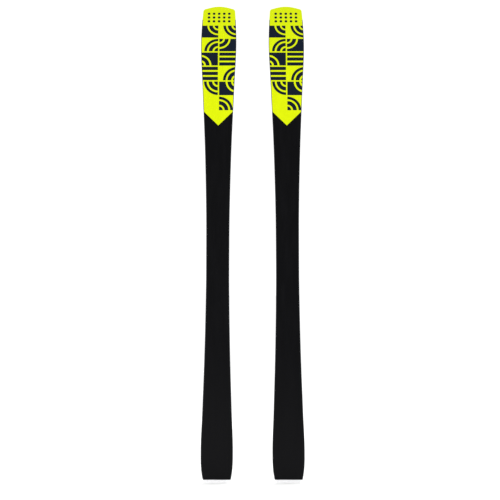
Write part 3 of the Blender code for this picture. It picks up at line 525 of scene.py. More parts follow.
def solved(work, cutter, operation):
    """Boolean of two bmeshes, as a new bmesh of triangles."""
    scene = bpy.context.scene.collection.objects
    body = bpy.data.objects.new("body", mesh_from(work, "body"))
    shape = bpy.data.objects.new("shape", mesh_from(cutter, "shape"))
    scene.link(body)
    scene.link(shape)
    modifier = body.modifiers.new("cut", "BOOLEAN")
    modifier.operation = operation
    modifier.solver = "EXACT"
    modifier.object = shape
    graph = bpy.context.evaluated_depsgraph_get()
    result = bmesh.new()
    result.from_object(body, graph)
    for thing in (body, shape):
        mesh = thing.data
        bpy.data.objects.remove(thing, do_unlink=True)
        bpy.data.meshes.remove(mesh)
    return result


def box(x_range, y_range, z_range):
    """Block between three pairs of limits."""
    work = bmesh.new()
    bmesh.ops.create_cube(work, size=1.0)
    ranges = (x_range, y_range, z_range)
    bmesh.ops.scale(work, vec=[high - low for low, high in ranges], verts=work.verts)
    bmesh.ops.translate(work, vec=[(high + low) / 2 for low, high in ranges], verts=work.verts)
    return work


def turned(profile, sides=28):
    """Round piece about +Y from (radius, height) points of its profile, closed flat at both ends."""
    work = bmesh.new()
    rings = []
    for radius, height in profile:
        angles = [2 * math.pi * i / sides for i in range(sides)]
        rings.append([work.verts.new((radius * math.cos(a), height, radius * math.sin(a))) for a in angles])
    return skinned(work, rings)


def moved(work, place, turn=0.0, axis="X"):
    """Turn a bmesh about an axis by degrees, and set it down at a place."""
    matrix = Matrix.Translation(place) @ Matrix.Rotation(math.radians(turn), 4, axis)
    bmesh.ops.transform(work, matrix=matrix, verts=work.verts)
    return work


def softened(work, width, segments=3, angle=30):
    """Round a bmesh's edges that are sharper than an angle."""
    sharp = [edge for edge in work.edges if edge.calc_face_angle(0.0) > math.radians(angle)]
    bmesh.ops.bevel(work, geom=sharp, offset=width, segments=segments, affect="EDGES", profile=0.5)
    return work


def rounded_plate(half_across, half_along, corner, low, high):
    """Flat plate with round corners, between two heights."""
    outline = []
    for start, sign_x, sign_z in ((0, 1, 1), (90, -1, 1), (180, -1, -1), (270, 1, -1)):
        centre = (sign_x * (half_across - corner), sign_z * (half_along - corner))
        outline += arc(centre, corner, start, start + 90, 5)
    return extruded(outline, low, high, "Y")


def wire(points, radius):
    """Round wire through points, as a bmesh."""
    line = bpy.data.curves.new("wire", "CURVE")
    line.dimensions = "3D"
    line.bevel_depth = radius
    line.bevel_resolution = 5
    line.use_fill_caps = True
    spline = line.splines.new("POLY")
    spline.points.add(len(points) - 1)
    for target, point in zip(spline.points, points):
        target.co = (*point, 1.0)
    guide = bpy.data.objects.new("wire", line)
    bpy.context.scene.collection.objects.link(guide)
    graph = bpy.context.evaluated_depsgraph_get()
    mesh = bpy.data.meshes.new_from_object(guide.evaluated_get(graph))
    work = bmesh.new()
    work.from_mesh(mesh)
    bmesh.ops.remove_doubles(work, verts=work.verts, dist=1e-6)
    bpy.data.meshes.remove(mesh)
    bpy.data.objects.remove(guide, do_unlink=True)
    return work


# ---------- finishes


class Finish:
    """A Principled material, grown node by node on the piece's own coordinates, in the frame's metres."""

    def __init__(self, name, colour, roughness, metallic=0.0, specular=0.5):
        self.material = bpy.data.materials.new(name)
        self.material.use_nodes = True
        self.tree = self.material.node_tree
        self.shader = self.tree.nodes["Principled BSDF"]
        self.shader.inputs["Metallic"].default_value = metallic
        self.shader.inputs["Specular IOR Level"].default_value = specular
        self.place = self.node("ShaderNodeTexCoord").outputs["Object"]
        self.colour = self.rgb(colour)
        self.roughness = self.number(roughness)
        self.normal = None

    def node(self, kind, **settings):
        """A new node with its settings."""
        made = self.tree.nodes.new(kind)
        for key, value in settings.items():
            setattr(made, key, value)
        return made

    def link(self, source, target):
        """Join an output to an input, or set the input to a plain value."""
        if isinstance(source, bpy.types.NodeSocket):
            self.tree.links.new(source, target)
        else:
            target.default_value = source

    def rgb(self, colour):
        """A colour as a socket."""
        made = self.node("ShaderNodeRGB")
        made.outputs[0].default_value = (*colour, 1.0)
        return made.outputs[0]

    def number(self, value):
        """A number as a socket."""
        made = self.node("ShaderNodeValue")
        made.outputs[0].default_value = value
        return made.outputs[0]

    def math(self, operation, first, second=0.0, third=0.0):
        """One sum on numbers."""
        made = self.node("ShaderNodeMath", operation=operation)
        for socket, value in zip(made.inputs, (first, second, third)):
            self.link(value, socket)
        return made.outputs[0]

    def span(self, factor, from_low, from_high, to_low=0.0, to_high=1.0):
        """A number mapped from one range to another, and held inside it."""
        made = self.node("ShaderNodeMapRange")
        self.link(factor, made.inputs["Value"])
        limits = (from_low, from_high, to_low, to_high)
        for name, value in zip(("From Min", "From Max", "To Min", "To Max"), limits):
            made.inputs[name].default_value = value
        return made.outputs["Result"]

    def noise(self, size, detail=3.0, stretch=(1.0, 1.0, 1.0), shape=0.5):
        """Noise with features about size metres across, drawn out by stretch."""
        mapping = self.node("ShaderNodeMapping")
        self.link(self.place, mapping.inputs["Vector"])
        mapping.inputs["Scale"].default_value = [1.0 / (size * s) for s in stretch]
        made = self.node("ShaderNodeTexNoise")
        self.link(mapping.outputs["Vector"], made.inputs["Vector"])
        made.inputs["Scale"].default_value = 1.0
        made.inputs["Detail"].default_value = detail
        made.inputs["Roughness"].default_value = shape
        return made.outputs["Fac"]

    def axis(self, letter):
        """One coordinate of the frame, in metres."""
        made = self.node("ShaderNodeSeparateXYZ")
        self.link(self.place, made.inputs[0])
        return made.outputs[letter]

    def tint(self, factor, colour):
        """Move the colour towards another by a factor."""
        made = self.node("ShaderNodeMix", data_type="RGBA")
        self.link(factor, made.inputs["Factor"])
        before, after = [socket for socket in made.inputs if socket.type == "RGBA"]
        self.link(self.colour, before)
        after.default_value = (*colour, 1.0)
        self.colour = [socket for socket in made.outputs if socket.type == "RGBA"][0]
        return self

    def rougher(self, factor, amount):
        """Add a factor's share of an amount to the roughness."""
        self.roughness = self.math("MULTIPLY_ADD", factor, amount, self.roughness)
        return self

    def bump(self, height, depth):
        """Relief of a height from 0 to 1, over a depth in metres."""
        made = self.node("ShaderNodeBump")
        made.inputs["Strength"].default_value = 1.0
        made.inputs["Distance"].default_value = depth
        self.link(height, made.inputs["Height"])
        if self.normal:
            self.link(self.normal, made.inputs["Normal"])
        self.normal = made.outputs["Normal"]
        return self

    def edges(self, radius):
        """0 on open faces, rising to 1 on worn corners within a radius."""
        soft = self.node("ShaderNodeBevel", samples=4)
        soft.inputs["Radius"].default_value = radius
        dot = self.node("ShaderNodeVectorMath", operation="DOT_PRODUCT")
        self.link(soft.outputs["Normal"], dot.inputs[0])
        self.link(self.node("ShaderNodeNewGeometry").outputs["Normal"], dot.inputs[1])
        return self.span(dot.outputs["Value"], 0.995, 0.90)

    def done(self):
        """Join what was grown to the shader."""
        self.link(self.colour, self.shader.inputs["Base Color"])
        self.link(self.roughness, self.shader.inputs["Roughness"])
        if self.normal:
            self.link(self.normal, self.shader.inputs["Normal"])
        return self.material


def base_finish(name, colour, shade, painted_colour, painted_span, specular):
    """Sintered base: stone-ground lines along the ski, streaks of wax, and colour painted in towards one end
    for light and shade: a painted sheen at the black base's tail, painted shade at the yellow tip, painted
    light on the navy inlays there.
    """
    finish = Finish(name, colour, 0.40, specular=specular)
    lines = finish.noise(0.6 * MM, 2.0, (1.0, 1.0, 60.0))
    cross = finish.noise(0.35 * MM, 1.0, (1.0, 1.0, 8.0))
    wax = finish.noise(18 * MM, 4.0, (1.0, 1.0, 7.0))
    finish.tint(finish.span(wax, 0.42, 0.75, 0.0, 0.5), shade)
    finish.tint(finish.span(lines, 0.45, 0.80, 0.0, 0.35), shade)
    # Colour towards one end, painted in for light and shade: sheen at the tail, shade at the tip.
    finish.tint(finish.span(finish.axis("Z"), *painted_span), painted_colour)
    finish.rougher(wax, 0.22).rougher(lines, -0.10)
    return finish.bump(lines, 0.05 * MM).bump(cross, 0.02 * MM).done()


def ground_steel(name, colour, roughness, along, wear):
    """Ground or drawn steel: fine lines along one axis, and soft stains."""
    finish = Finish(name, colour, roughness, metallic=1.0)
    lines = finish.noise(0.12 * MM, 3.0, along)
    stains = finish.noise(7 * MM, 4.0)
    finish.tint(finish.span(stains, 0.45, 0.75, 0.0, 0.6), wear)
    finish.tint(finish.span(lines, 0.50, 0.85, 0.0, 0.5), wear)
    finish.rougher(lines, 0.18).rougher(stains, 0.10)
    return finish.bump(lines, 0.03 * MM).done()


def moulded(name, colour, roughness, grain, worn, specular):
    """Moulded plastic: spark-eroded grain, a faint flow mottle, and corners rubbed lighter."""
    finish = Finish(name, colour, roughness, specular=specular)
    pits = finish.noise(grain, 2.0)
    flow = finish.noise(22 * MM, 3.0, (1.0, 1.0, 2.0))
    scuffs = finish.noise(1.6 * MM, 4.0, (4.0, 1.0, 1.0))
    rubbed = finish.math("MULTIPLY", finish.edges(0.6 * MM), finish.span(scuffs, 0.40, 0.65))
    finish.tint(finish.span(flow, 0.35, 0.75, 0.0, 0.12), worn)
    finish.tint(finish.math("MULTIPLY", rubbed, 0.75), worn)
    finish.rougher(pits, 0.12).rougher(flow, 0.08)
    return finish.bump(pits, 0.03 * MM).bump(finish.span(scuffs, 0.70, 0.60), 0.02 * MM).done()


def glass_finish():
    """Glass laminate: resin over a fine cross weave."""
    finish = Finish("glass_laminate", (0.16, 0.17, 0.11), 0.30)
    warp = finish.noise(0.8 * MM, 1.0, (1.0, 1.0, 14.0))
    weft = finish.noise(0.8 * MM, 1.0, (14.0, 1.0, 1.0))
    weave = finish.math("MAXIMUM", warp, weft)
    finish.tint(finish.span(weave, 0.50, 0.72), (0.30, 0.31, 0.22))
    return finish.rougher(weave, 0.15).bump(weave, 0.05 * MM).done()


def wood_finish():
    """Laminated core: long staves across the width with grain along the ski."""
    finish = Finish("core_wood", (0.52, 0.34, 0.17), 0.55)
    stave = finish.math("FRACT", finish.math("MULTIPLY", finish.axis("X"), 1.0 / (18 * MM)))
    grain = finish.noise(1.2 * MM, 6.0, (1.0, 1.0, 40.0), 0.65)
    pores = finish.noise(0.3 * MM, 2.0, (1.0, 1.0, 25.0))
    finish.tint(finish.span(stave, 0.45, 0.55, 0.0, 0.5), (0.66, 0.50, 0.30))
    finish.tint(finish.span(grain, 0.45, 0.70, 0.0, 0.8), (0.28, 0.16, 0.07))
    return finish.rougher(grain, 0.2).bump(pores, 0.05 * MM).done()


def sidewall_finish():
    """ABS sidewall: planed lines along the ski and a fine scuffed texture."""
    finish = Finish("sidewall_abs", (0.012, 0.012, 0.013), 0.36, specular=0.25)
    planed = finish.noise(0.25 * MM, 2.0, (1.0, 1.0, 120.0))
    scuffs = finish.noise(2.5 * MM, 5.0, (1.0, 1.0, 5.0))
    finish.tint(finish.span(scuffs, 0.55, 0.80, 0.0, 0.5), (0.06, 0.06, 0.062))
    finish.rougher(planed, 0.20).rougher(scuffs, 0.12)
    return finish.bump(planed, 0.05 * MM).done()


def topsheet_finish():
    """Nylon topsheet: sublimated print under a fine satin grain, with hairline scratches."""
    finish = Finish("topsheet", (0.006, 0.007, 0.010), 0.42, specular=0.12)
    x, z = finish.axis("X"), finish.axis("Z")
    across = finish.math("SUBTRACT", finish.math("ABSOLUTE", x), SKI_CENTRE)
    across = finish.math("ABSOLUTE", across)
    rise = (SEAM_SIDE_Z - SEAM_APEX_Z) / half_width(SEAM_SIDE_Z)
    chevron = finish.math("SUBTRACT", z, finish.math("MULTIPLY", across, rise))
    fleck = finish.noise(0.5 * MM, 3.0)
    for low, high, colour in TOPSHEET_BANDS:
        above = finish.math("GREATER_THAN", chevron, low)
        below = finish.math("LESS_THAN", chevron, high)
        finish.tint(finish.math("MULTIPLY", above, below), colour)
    finish.tint(finish.span(fleck, 0.62, 0.78, 0.0, 0.05), (0.30, 0.32, 0.36))
    grain = finish.noise(0.22 * MM, 2.0)
    scratches = finish.span(finish.noise(0.35 * MM, 2.0, (9.0, 1.0, 70.0)), 0.70, 0.78)
    haze = finish.noise(35 * MM, 4.0, (1.0, 1.0, 3.0))
    finish.rougher(grain, 0.10).rougher(haze, 0.14).rougher(scratches, 0.15)
    return finish.bump(grain, 0.02 * MM).bump(scratches, -0.02 * MM).done()


def scale_finish():
    """Pale scale under an indicator window: fine dark ticks across it, and patches of dust."""
    finish = Finish("window_scale", (0.62, 0.60, 0.50), 0.18, specular=0.6)
    step = finish.math("FRACT", finish.math("MULTIPLY", finish.axis("X"), 1.0 / (1.8 * MM)))
    finish.tint(finish.math("LESS_THAN", step, 0.22), (0.03, 0.03, 0.03))
    dust = finish.noise(1.5 * MM, 4.0)
    finish.tint(finish.span(dust, 0.50, 0.75, 0.0, 0.35), (0.34, 0.32, 0.27))
    return finish.rougher(dust, 0.25).bump(dust, 0.02 * MM).done()


def make_finishes():
    """Every finish by its name, which is the name of its material slot too."""
    made = {
        "glass_laminate": glass_finish(),
        "core_wood": wood_finish(),
        "sidewall_abs": sidewall_finish(),
        "topsheet": topsheet_finish(),
        "window_scale": scale_finish(),
    }
    kinds = ((base_finish, BASE_LOOKS), (ground_steel, STEEL_LOOKS), (moulded, PLASTIC_LOOKS))
    for make, looks in kinds:
        for name, look in looks.items():
            made[name] = make(name, *look)
    return made


# ---------- layers of the ski


def edge_section(z):
    """Steel edge, alike at every height: a bar with eased outer corners, and a flange over the base."""
    flange = EDGE_WIDTH + EDGE_FLANGE_WIDTH
    ease = 0.12 * MM
    return [
        (ease, 0.0),
        (EDGE_WIDTH, 0.0),
        (EDGE_WIDTH, EDGE_FLANGE_START),
        (flange, EDGE_FLANGE_START),
        (flange, EDGE_HEIGHT),
        (ease, EDGE_HEIGHT),
        (0.0, EDGE_HEIGHT - ease),
        (0.0, ease),
    ]


def sidewall_section(z):
    """Sidewall: between the two laminates, leaning in towards the topsheet, with a shallow planed hollow."""
    top = thickness(z) - CORE_TOP_DEPTH
    foot = SHELL_INSET + SIDE_SLANT * (CORE_START - EDGE_HEIGHT)
    shoulder = SHELL_INSET + SIDE_SLANT * (top - EDGE_HEIGHT)
    middle = (foot + shoulder) / 2 + 0.12 * MM
    inside = foot + SIDEWALL_WIDTH
    hollow = (middle, (CORE_START + top) / 2)
    return [(foot, CORE_START), (inside, CORE_START), (inside, top), (shoulder, top), hollow]


def fan(corner, across, up, far_corner=None):
    """Quarter rings about a tile's corner. With the opposite corner given, the rest is dark too."""
    start = 0 if across > 0 else 180
    end = 90 * up if across > 0 else 180 - 90 * up
    shapes = []
    for inner, outer in RING_BANDS[: 2 if far_corner else 3]:
        outline = arc(corner, outer, start, end)
        outline += reversed(arc(corner, inner, start, end)) if inner else [corner]
        shapes.append(outline)
    if far_corner:
        x, z = far_corner
        rest = arc(corner, RING_BANDS[2][0], start, end)
        shapes.append(rest + [(corner[0], z), (x, z), (x, corner[1])])
    return shapes


def bars(low_x, high_x, low_z, high_z, count):
    """Level bars up a tile, twice as high as the gaps between them."""
    gap = (high_z - low_z) / (3 * count - 1)
    made = []
    for i in range(count):
        z = low_z + 3 * i * gap
        made.append([(low_x, z), (high_x, z), (high_x, z + 2 * gap), (low_x, z + 2 * gap)])
    return made


def tile(kind, near, far, low, high):
    """Outlines of one printed tile, from its side near the ski's middle to its side past the ski's edge."""
    if kind == "bars":
        return bars(near, far, low, high, 3)
    where, solid = kind
    from_far = "far" in where
    from_high = "high" in where
    corner = (far if from_far else near, high if from_high else low)
    opposite = (near if from_far else far, low if from_high else high)
    across = 1 if opposite[0] > corner[0] else -1
    return fan(corner, across, -1 if from_high else 1, opposite if solid else None)


LEFT_TILES = (("near_high", False), "bars", ("far_low", True), ("near_low", False), ("near_high", True))
RIGHT_TILES = (
    ("near_low", False),
    ("far_high", True),
    ("far_low", False),
    "bars",
    ("near_high", True),
    ("far_high", False),
)


def block_pattern():
    """Outlines of the dark inlays: two columns of tiles that run off the sides, and rows of dots."""
    shapes = []
    past_edge = half_width(SHOVEL_WIDE_Z) + 2 * MM
    columns = ((-1, LEFT_COLUMN_START_Z, LEFT_TILES), (1, RIGHT_COLUMN_START_Z, RIGHT_TILES))
    for side, start, kinds in columns:
        pitch = (COLUMN_TOP_Z - start + TILE_GAP) / len(kinds)
        for i, kind in enumerate(kinds):
            low = start + i * pitch
            near = side * COLUMN_GAP / 2
            shapes += tile(kind, near, side * past_edge, low, low + pitch - TILE_GAP)
    for z in DOT_ROWS_Z:
        for i in range(DOT_COLUMNS):
            centre = ((i - (DOT_COLUMNS - 1) / 2) * DOT_SPACING, z)
            shapes.append(arc(centre, DOT_RADIUS, 0, 345, 23))
    return shapes


def tip_outline():
    """Outline of the yellow base, from the V seam up: inside the edges, then out to the ski's side."""
    beside_edge = EDGE_WIDTH + SEAM
    side = side_points(SEAM_SIDE_Z + SEAM, EDGE_END_Z, beside_edge)
    side += side_points(EDGE_END_Z + SEAM, TIP_SIDE_END_Z, 0.0)
    return [(0.0, SEAM_APEX_Z + SEAM)] + mirrored(side + tip_edge(0.0))


def triangulated(work):
    """The same bmesh in triangles, which bend cleanly."""
    bmesh.ops.triangulate(work, faces=work.faces)
    return work


def tip_sheet(operation, lift_low):
    """The yellow base cut by the block pattern, or the blocks themselves, bent to the ski."""
    prisms = [extruded(outline, -0.5, 1.5, "Y") for outline in block_pattern()]
    sheet = solved(extruded(tip_outline(), 0.0, 1.0, "Y"), together(prisms), operation)
    return bend(triangulated(sheet), constant(lift_low), constant(BASE_THICKNESS))


def make_base(hand, body, shift):
    """Running base: the black main part, the yellow tip with its V seam, and the dark inlays in it."""
    main = side_points(BASE_START_Z, SEAM_SIDE_Z, EDGE_WIDTH + SEAM) + [(0.0, SEAM_APEX_Z)]
    sheet = bent(mirrored(main), constant(0.0), constant(BASE_THICKNESS))
    shown(f"{hand}_base_main_fine", sheet, body, "base_black", [f"{hand}_base_main"], shift)
    sheet = tip_sheet("DIFFERENCE", 0.0)
    shown(f"{hand}_base_tip_fine", sheet, body, "base_yellow", [f"{hand}_base_tip"], shift)
    shown(f"{hand}_base_inlays", tip_sheet("INTERSECT", INLAY_STEP), body, "base_navy", (), shift)


def make_ski(hand):
    """All the layers of one ski that show, and its tail piece."""
    body = f"{hand}_ski"
    shift = Vector((SIDES[hand] * SKI_CENTRE, 0.0, 0.0))
    make_base(hand, body, shift)

    for side in (-1, 1):
        where = "inner" if side == -SIDES[hand] else "outer"
        for part, section, low, high, slot in (
            ("edge", edge_section, EDGE_START_Z, EDGE_END_Z, "edge_steel"),
            ("sidewall", sidewall_section, CORE_START_Z, CORE_END_Z, "sidewall_abs"),
        ):
            name = f"{hand}_{part}_{where}"
            shown(f"{name}_fine", rail(section, side, low, high), body, slot, [name], shift)

    outline = full_outline(BASE_START_Z, SHELL_INSET)
    below_topsheet = below_top(TOPSHEET_THICKNESS + SEAM)
    for part, low, high, slot in (
        ("lower_laminate", constant(LAMINATE_START), constant(LAMINATE_END), "glass_laminate"),
        ("upper_laminate", below_top(UPPER_LAMINATE_DEPTH), below_topsheet, "glass_laminate"),
        ("topsheet", below_top(TOPSHEET_THICKNESS), below_top(0.0), "topsheet"),
    ):
        name = f"{hand}_{part}"
        shown(f"{name}_fine", bent(outline, low, high), body, slot, [name], shift)

    inside = (constant(CORE_START), below_top(CORE_TOP_DEPTH))
    spacer = bent(full_outline(CORE_END_Z + SEAM, SHELL_INSET), *inside)
    name = f"{hand}_tip_spacer"
    shown(f"{name}_fine", spacer, body, "spacer_plastic", [name], shift)

    corner = TAIL_CORNER_RADIUS
    wide = half_width(0.0) - SHELL_INSET
    cap = arc((wide - corner, corner), corner, -90, -10, 8)
    cap.append((wide, BASE_START_Z - SEAM))
    cap = bent(mirrored(cap), constant(TAIL_CAP_STEP), below_top(TAIL_CAP_STEP))
    name = f"{hand}_tail_protector"
    shown(f"{name}_fine", cap, body, "tail_aluminium", [name], shift, rounding=0.6 * MM)


# ---------- binding details


def screw_places(across, seat, forwards):
    """Places of screws in pairs, either side of the ski's middle."""
    return [(side * across, seat, forward) for side in (-1, 1) for forward in forwards]


def cross_heads(places, radius, height):
    """Pan heads with a cross recess, all facing up, as one bmesh."""
    profile = [(radius, -0.2 * MM), (radius, 0.45 * height)]
    profile += [(0.86 * radius, 0.82 * height), (0.55 * radius, height)]
    heads = together([moved(turned(profile), place) for place in places])
    reach, half = 0.58 * radius, 0.13 * radius
    for turn in (25, 115):
        slots = []
        for place in places:
            slot = box((-reach, reach), (0.35 * height, 2 * height), (-half, half))
            slots.append(moved(slot, place, turn, "Y"))
        heads = solved(heads, together(slots), "DIFFERENCE")
    return heads


def ribs(places, half_length, radius):
    """Half-round grip ribs that lie across the ski, at (forward, up) places."""
    shapes = [extruded(arc(place, radius, -25, 205, 8), -half_length, half_length, "X") for place in places]
    return together([softened(shape, 0.25 * radius, 2, 50) for shape in shapes])


def pivot_caps(across, place, radius, height):
    """Riveted pin ends on both outer faces of a hinge."""
    profile = [(radius, 0.0), (radius, 0.5 * height), (0.75 * radius, height), (0.3 * radius, height)]
    profile += [(0.22 * radius, 0.55 * height)]
    caps = [moved(turned(profile), (side * across, place.y, place.z), -90 * side, "Z") for side in (-1, 1)]
    return together(caps)


def make_window(name, body, place, slope, frame_size, lens_size, shift):
    """Indicator window: a raised rubber frame, and a lens over a scale."""
    for part, size, rounding, slot in (
        ("window_frame", frame_size, 0.3 * MM, "rubber"),
        ("window", lens_size, 0.2 * MM, "window_scale"),
    ):
        plate = moved(softened(rounded_plate(*size), rounding, 2, 60), place, slope)
        shown(f"{name}_{part}", plate, body, slot, (), shift)


def make_toe_details(hand, shift):
    """Toe unit: cover, indicator window, screw heads and the slider's low-friction ridges."""
    body = f"{hand}_ski"
    cover = softened(extruded(COVER_PROFILE, -COVER_HALF_WIDTH, COVER_HALF_WIDTH, "X"), 0.9 * MM)
    shown(f"{hand}_toe_cover", cover, body, "binding_lever", (), shift)
    frame_size = (0.0098, 0.0056, 2.0 * MM, -0.4 * MM, 0.9 * MM)
    lens_size = (0.0078, 0.0036, 1.4 * MM, -0.2 * MM, 1.1 * MM)
    make_window(f"{hand}_toe", body, TOE_WINDOW, TOE_WINDOW_SLOPE, frame_size, lens_size, shift)

    places = screw_places(TOE_SCREW_ACROSS, TOE_PLATE_TOP - TOE_SCREW_SEAT, TOE_SCREWS_FORWARD)
    shown(f"{hand}_toe_screw_heads", cross_heads(places, 2.7 * MM, 1.1 * MM), body, "screw_steel", (), shift)

    pads = []
    for i in range(RIDGE_COUNT):
        across = (i - (RIDGE_COUNT - 1) / 2) * RIDGE_SPACING
        pad = softened(rounded_plate(2.1 * MM, 15.5 * MM, 1.8 * MM, -0.3 * MM, 0.7 * MM), 0.3 * MM, 2, 60)
        pads.append(moved(pad, (across, SLIDER_TOP, SLIDER_MIDDLE)))
    for side in (-1, 1):
        make_toe_wing(hand, side, shift)
    slider = f"{hand}_afd_slider"
    shown(f"{slider}_ridges", together(pads), slider, "rubber", (), shift)


def toe_arc(radius, first, last):
    """Points of the boot toe's rim between two angles from straight ahead, as (across, forward)."""
    steps = 14
    angles = [math.radians(first + (last - first) * i / steps) for i in range(steps + 1)]
    centre = SOLE_HALF_LENGTH - TOE_RADIUS
    return [(radius * math.sin(a), centre + radius * math.cos(a)) for a in angles]


def make_toe_wing(hand, side, shift):
    """Release lever: a hub on its pin, a smooth arm beside the boot's toe, and a lip over the toe's lug."""
    x, z = WING_PIVOT
    hub = arc((x, z), WING_HUB_RADIUS, 180, 0, 14)
    outer = [(0.0325, 0.172), (0.0360, 0.1645), (0.0385, 0.158), (0.0398, 0.1525), (0.0402, 0.147)]
    outer += [(0.0400, 0.1415), (0.0388, 0.1375), (0.0370, 0.1357), (0.0352, 0.1355)]
    outline = hub + outer + toe_arc(TOE_RADIUS, 61, 22) + [(0.0146, 0.168)]
    arm = softened(extruded([(side * a, b) for a, b in outline], WING_BOTTOM, WING_TOP, "Y"), 1.2 * MM, 3, 50)
    outline = toe_arc(TOE_RADIUS + 1.5 * MM, 24, 58) + toe_arc(LIP_RADIUS, 58, 27)
    lip = extruded([(side * a, b) for a, b in outline], TOE_LUG_TOP, WING_TOP - 1 * MM, "Y")
    wing = solved(arm, softened(lip, 0.6 * MM, 2, 50), "UNION")
    pin = turned([(WING_HOLE_RADIUS, 0.0), (WING_HOLE_RADIUS, 2 * WING_TOP)])
    wing = solved(wing, moved(pin, (side * x, -0.01, z)), "DIFFERENCE")
    body = f"{hand}_toe_wing_{'inner' if side == -SIDES[hand] else 'outer'}"
    shown(f"{body}_fine", wing, body, "binding_wing", [body], shift, angle=40)


def make_track(hand, shift):
    """T rail with a row of slots for the pressure screw's thread, and its screw heads."""
    half = [(TRACK_FOOT, 0.0), (TRACK_FOOT, TRACK_HEAD_START)]
    half += [(TRACK_HEAD, TRACK_HEAD_START), (TRACK_HEAD, TRACK_TOP)]
    low, high = TRACK_ENDS
    rail_bar = softened(extruded(mirrored(half), low, high, "Z"), 0.35 * MM, 2, 60)
    slots = []
    count = int((high - low) / TRACK_SLOT_PITCH) - 1
    for i in range(count):
        middle = low + (i + 1.2) * TRACK_SLOT_PITCH
        slot = rounded_plate(5.5 * MM, 0.9 * MM, 0.8 * MM, TRACK_TOP - 2.2 * MM, TRACK_TOP + 1 * MM)
        slots.append(moved(slot, (0.0, 0.0, middle)))
    rail_bar = solved(rail_bar, together(slots), "DIFFERENCE")
    body = f"{hand}_ski"
    name = f"{hand}_heel_track"
    shown(f"{name}_fine", rail_bar, body, "track_steel", [name], shift)
    places = screw_places(TRACK_SCREW_ACROSS, TRACK_TOP - TRACK_SCREW_SEAT, TRACK_SCREWS_FORWARD)
    heads = cross_heads(places, 3.4 * MM, 0.75 * MM)
    shown(f"{hand}_heel_screw_heads", heads, body, "screw_steel", (), shift)


def make_heel_details(hand, shift):
    """Heel unit: indicator window, ribs on the lever, and the riveted ends of both hinges."""
    heel = f"{hand}_heel_body"
    frame_size = (0.0105, 0.0062, 2.2 * MM, -0.6 * MM, 0.9 * MM)
    lens_size = (0.0084, 0.0041, 1.5 * MM, -0.2 * MM, 1.1 * MM)
    make_window(f"{hand}_heel", heel, HEEL_WINDOW, HEEL_WINDOW_SLOPE, frame_size, lens_size, shift)
    caps = pivot_caps(LUG_OUTSIDE, LEVER_PIVOT, 3.0 * MM, 0.9 * MM)
    shown(f"{hand}_lever_pin_ends", caps, heel, "screw_steel", (), shift)

    carriage = f"{hand}_heel_carriage"
    caps = pivot_caps(EAR_OUTSIDE, HEEL_PIVOT, 4.6 * MM, 1.1 * MM)
    shown(f"{hand}_heel_pivot_ends", caps, carriage, "screw_steel", (), shift)

    lever = f"{hand}_heel_lever"
    places = [(-0.2210 - 5.2 * MM * i, 0.0742 + 1.5 * MM * i) for i in range(4)]
    shown(f"{lever}_ribs", ribs(places, 0.0155, RIB_RADIUS), lever, "rubber", (), shift)


def brake_axis_point(side, x):
    """Point of a brake arm's hinge axis at a distance x out from the ski's middle."""
    lean = math.cos(BRAKE_TILT) * math.cos(BRAKE_TOE_IN)
    axis = Vector((lean, math.sin(BRAKE_TILT), math.sin(BRAKE_TOE_IN))).normalized()
    point = BRAKE_PIVOT + axis * ((x - BRAKE_PIVOT.x) / axis.x)
    return Vector((side * point.x, point.y, point.z))


def make_brake_arm(hand, side, shift):
    """Brake arm: plated wire with a smooth bend, and a finned foot moulded onto its end."""
    start = brake_axis_point(side, BRAKE_START_X)
    elbow = brake_axis_point(side, BRAKE_ELBOW_X)
    reach = BRAKE_ARM_LENGTH * math.cos(BRAKE_ARM_RISE)
    rise = BRAKE_ARM_LENGTH * math.sin(BRAKE_ARM_RISE)
    end = Vector((side * BRAKE_END_X, elbow.y + rise, elbow.z - reach))
    into = (start - elbow).normalized()
    out = (end - elbow).normalized()
    steps = [i / 12 for i in range(13)]
    corner = [elbow + BRAKE_BEND * (into * (1 - t) ** 2 + out * t**2) for t in steps]
    body = f"{hand}_brake_arm_{'inner' if side == -SIDES[hand] else 'outer'}"
    line = wire([start, *corner, end], BRAKE_WIRE_RADIUS)
    shown(f"{body}_wire", line, body, "brake_steel", [body], shift, angle=50)

    slope = Vector((end.z - elbow.z, end.y - elbow.y)).normalized()

    def beside(along, over):
        """Place on the foot, along from the arm's end and over its line."""
        return (end.z - slope.x * along - slope.y * over, end.y - slope.y * along + slope.x * over)

    outline = [beside(*point) for point in ((0.034, -0.0045), (0.0, -0.0065), (-0.007, -0.003))]
    outline += [beside(*point) for point in ((-0.007, 0.004), (0.0, 0.0065), (0.034, 0.0045))]
    foot = softened(extruded(outline, *sorted((side * FOOT_INSIDE, side * FOOT_OUTSIDE)), "X"), 1.5 * MM)
    fins = []
    half = FIN_HALF_HEIGHT
    for i in range(4):
        near = (i + 1) * FIN_PITCH
        far = near + FIN_LENGTH
        fin = [beside(near, -half), beside(near, half), beside(far, half), beside(far, -half)]
        face = sorted((side * (FOOT_OUTSIDE - FIN_DEPTH), side * (FOOT_OUTSIDE + 1 * MM)))
        fins.append(extruded(fin, *face, "X"))
    foot = solved(foot, together(fins), "DIFFERENCE")
    shown(f"{body}_foot", foot, body, "binding_moulded", (), shift)


def make_brake_details(hand, shift):
    """Brake: both arms, and the grip ribs of the pedal."""
    for side in (-1, 1):
        make_brake_arm(hand, side, shift)
    pedal = f"{hand}_brake_pedal"
    shown(f"{pedal}_ribs", ribs(PEDAL_RIBS, 0.0165, RIB_RADIUS), pedal, "rubber", (), shift)


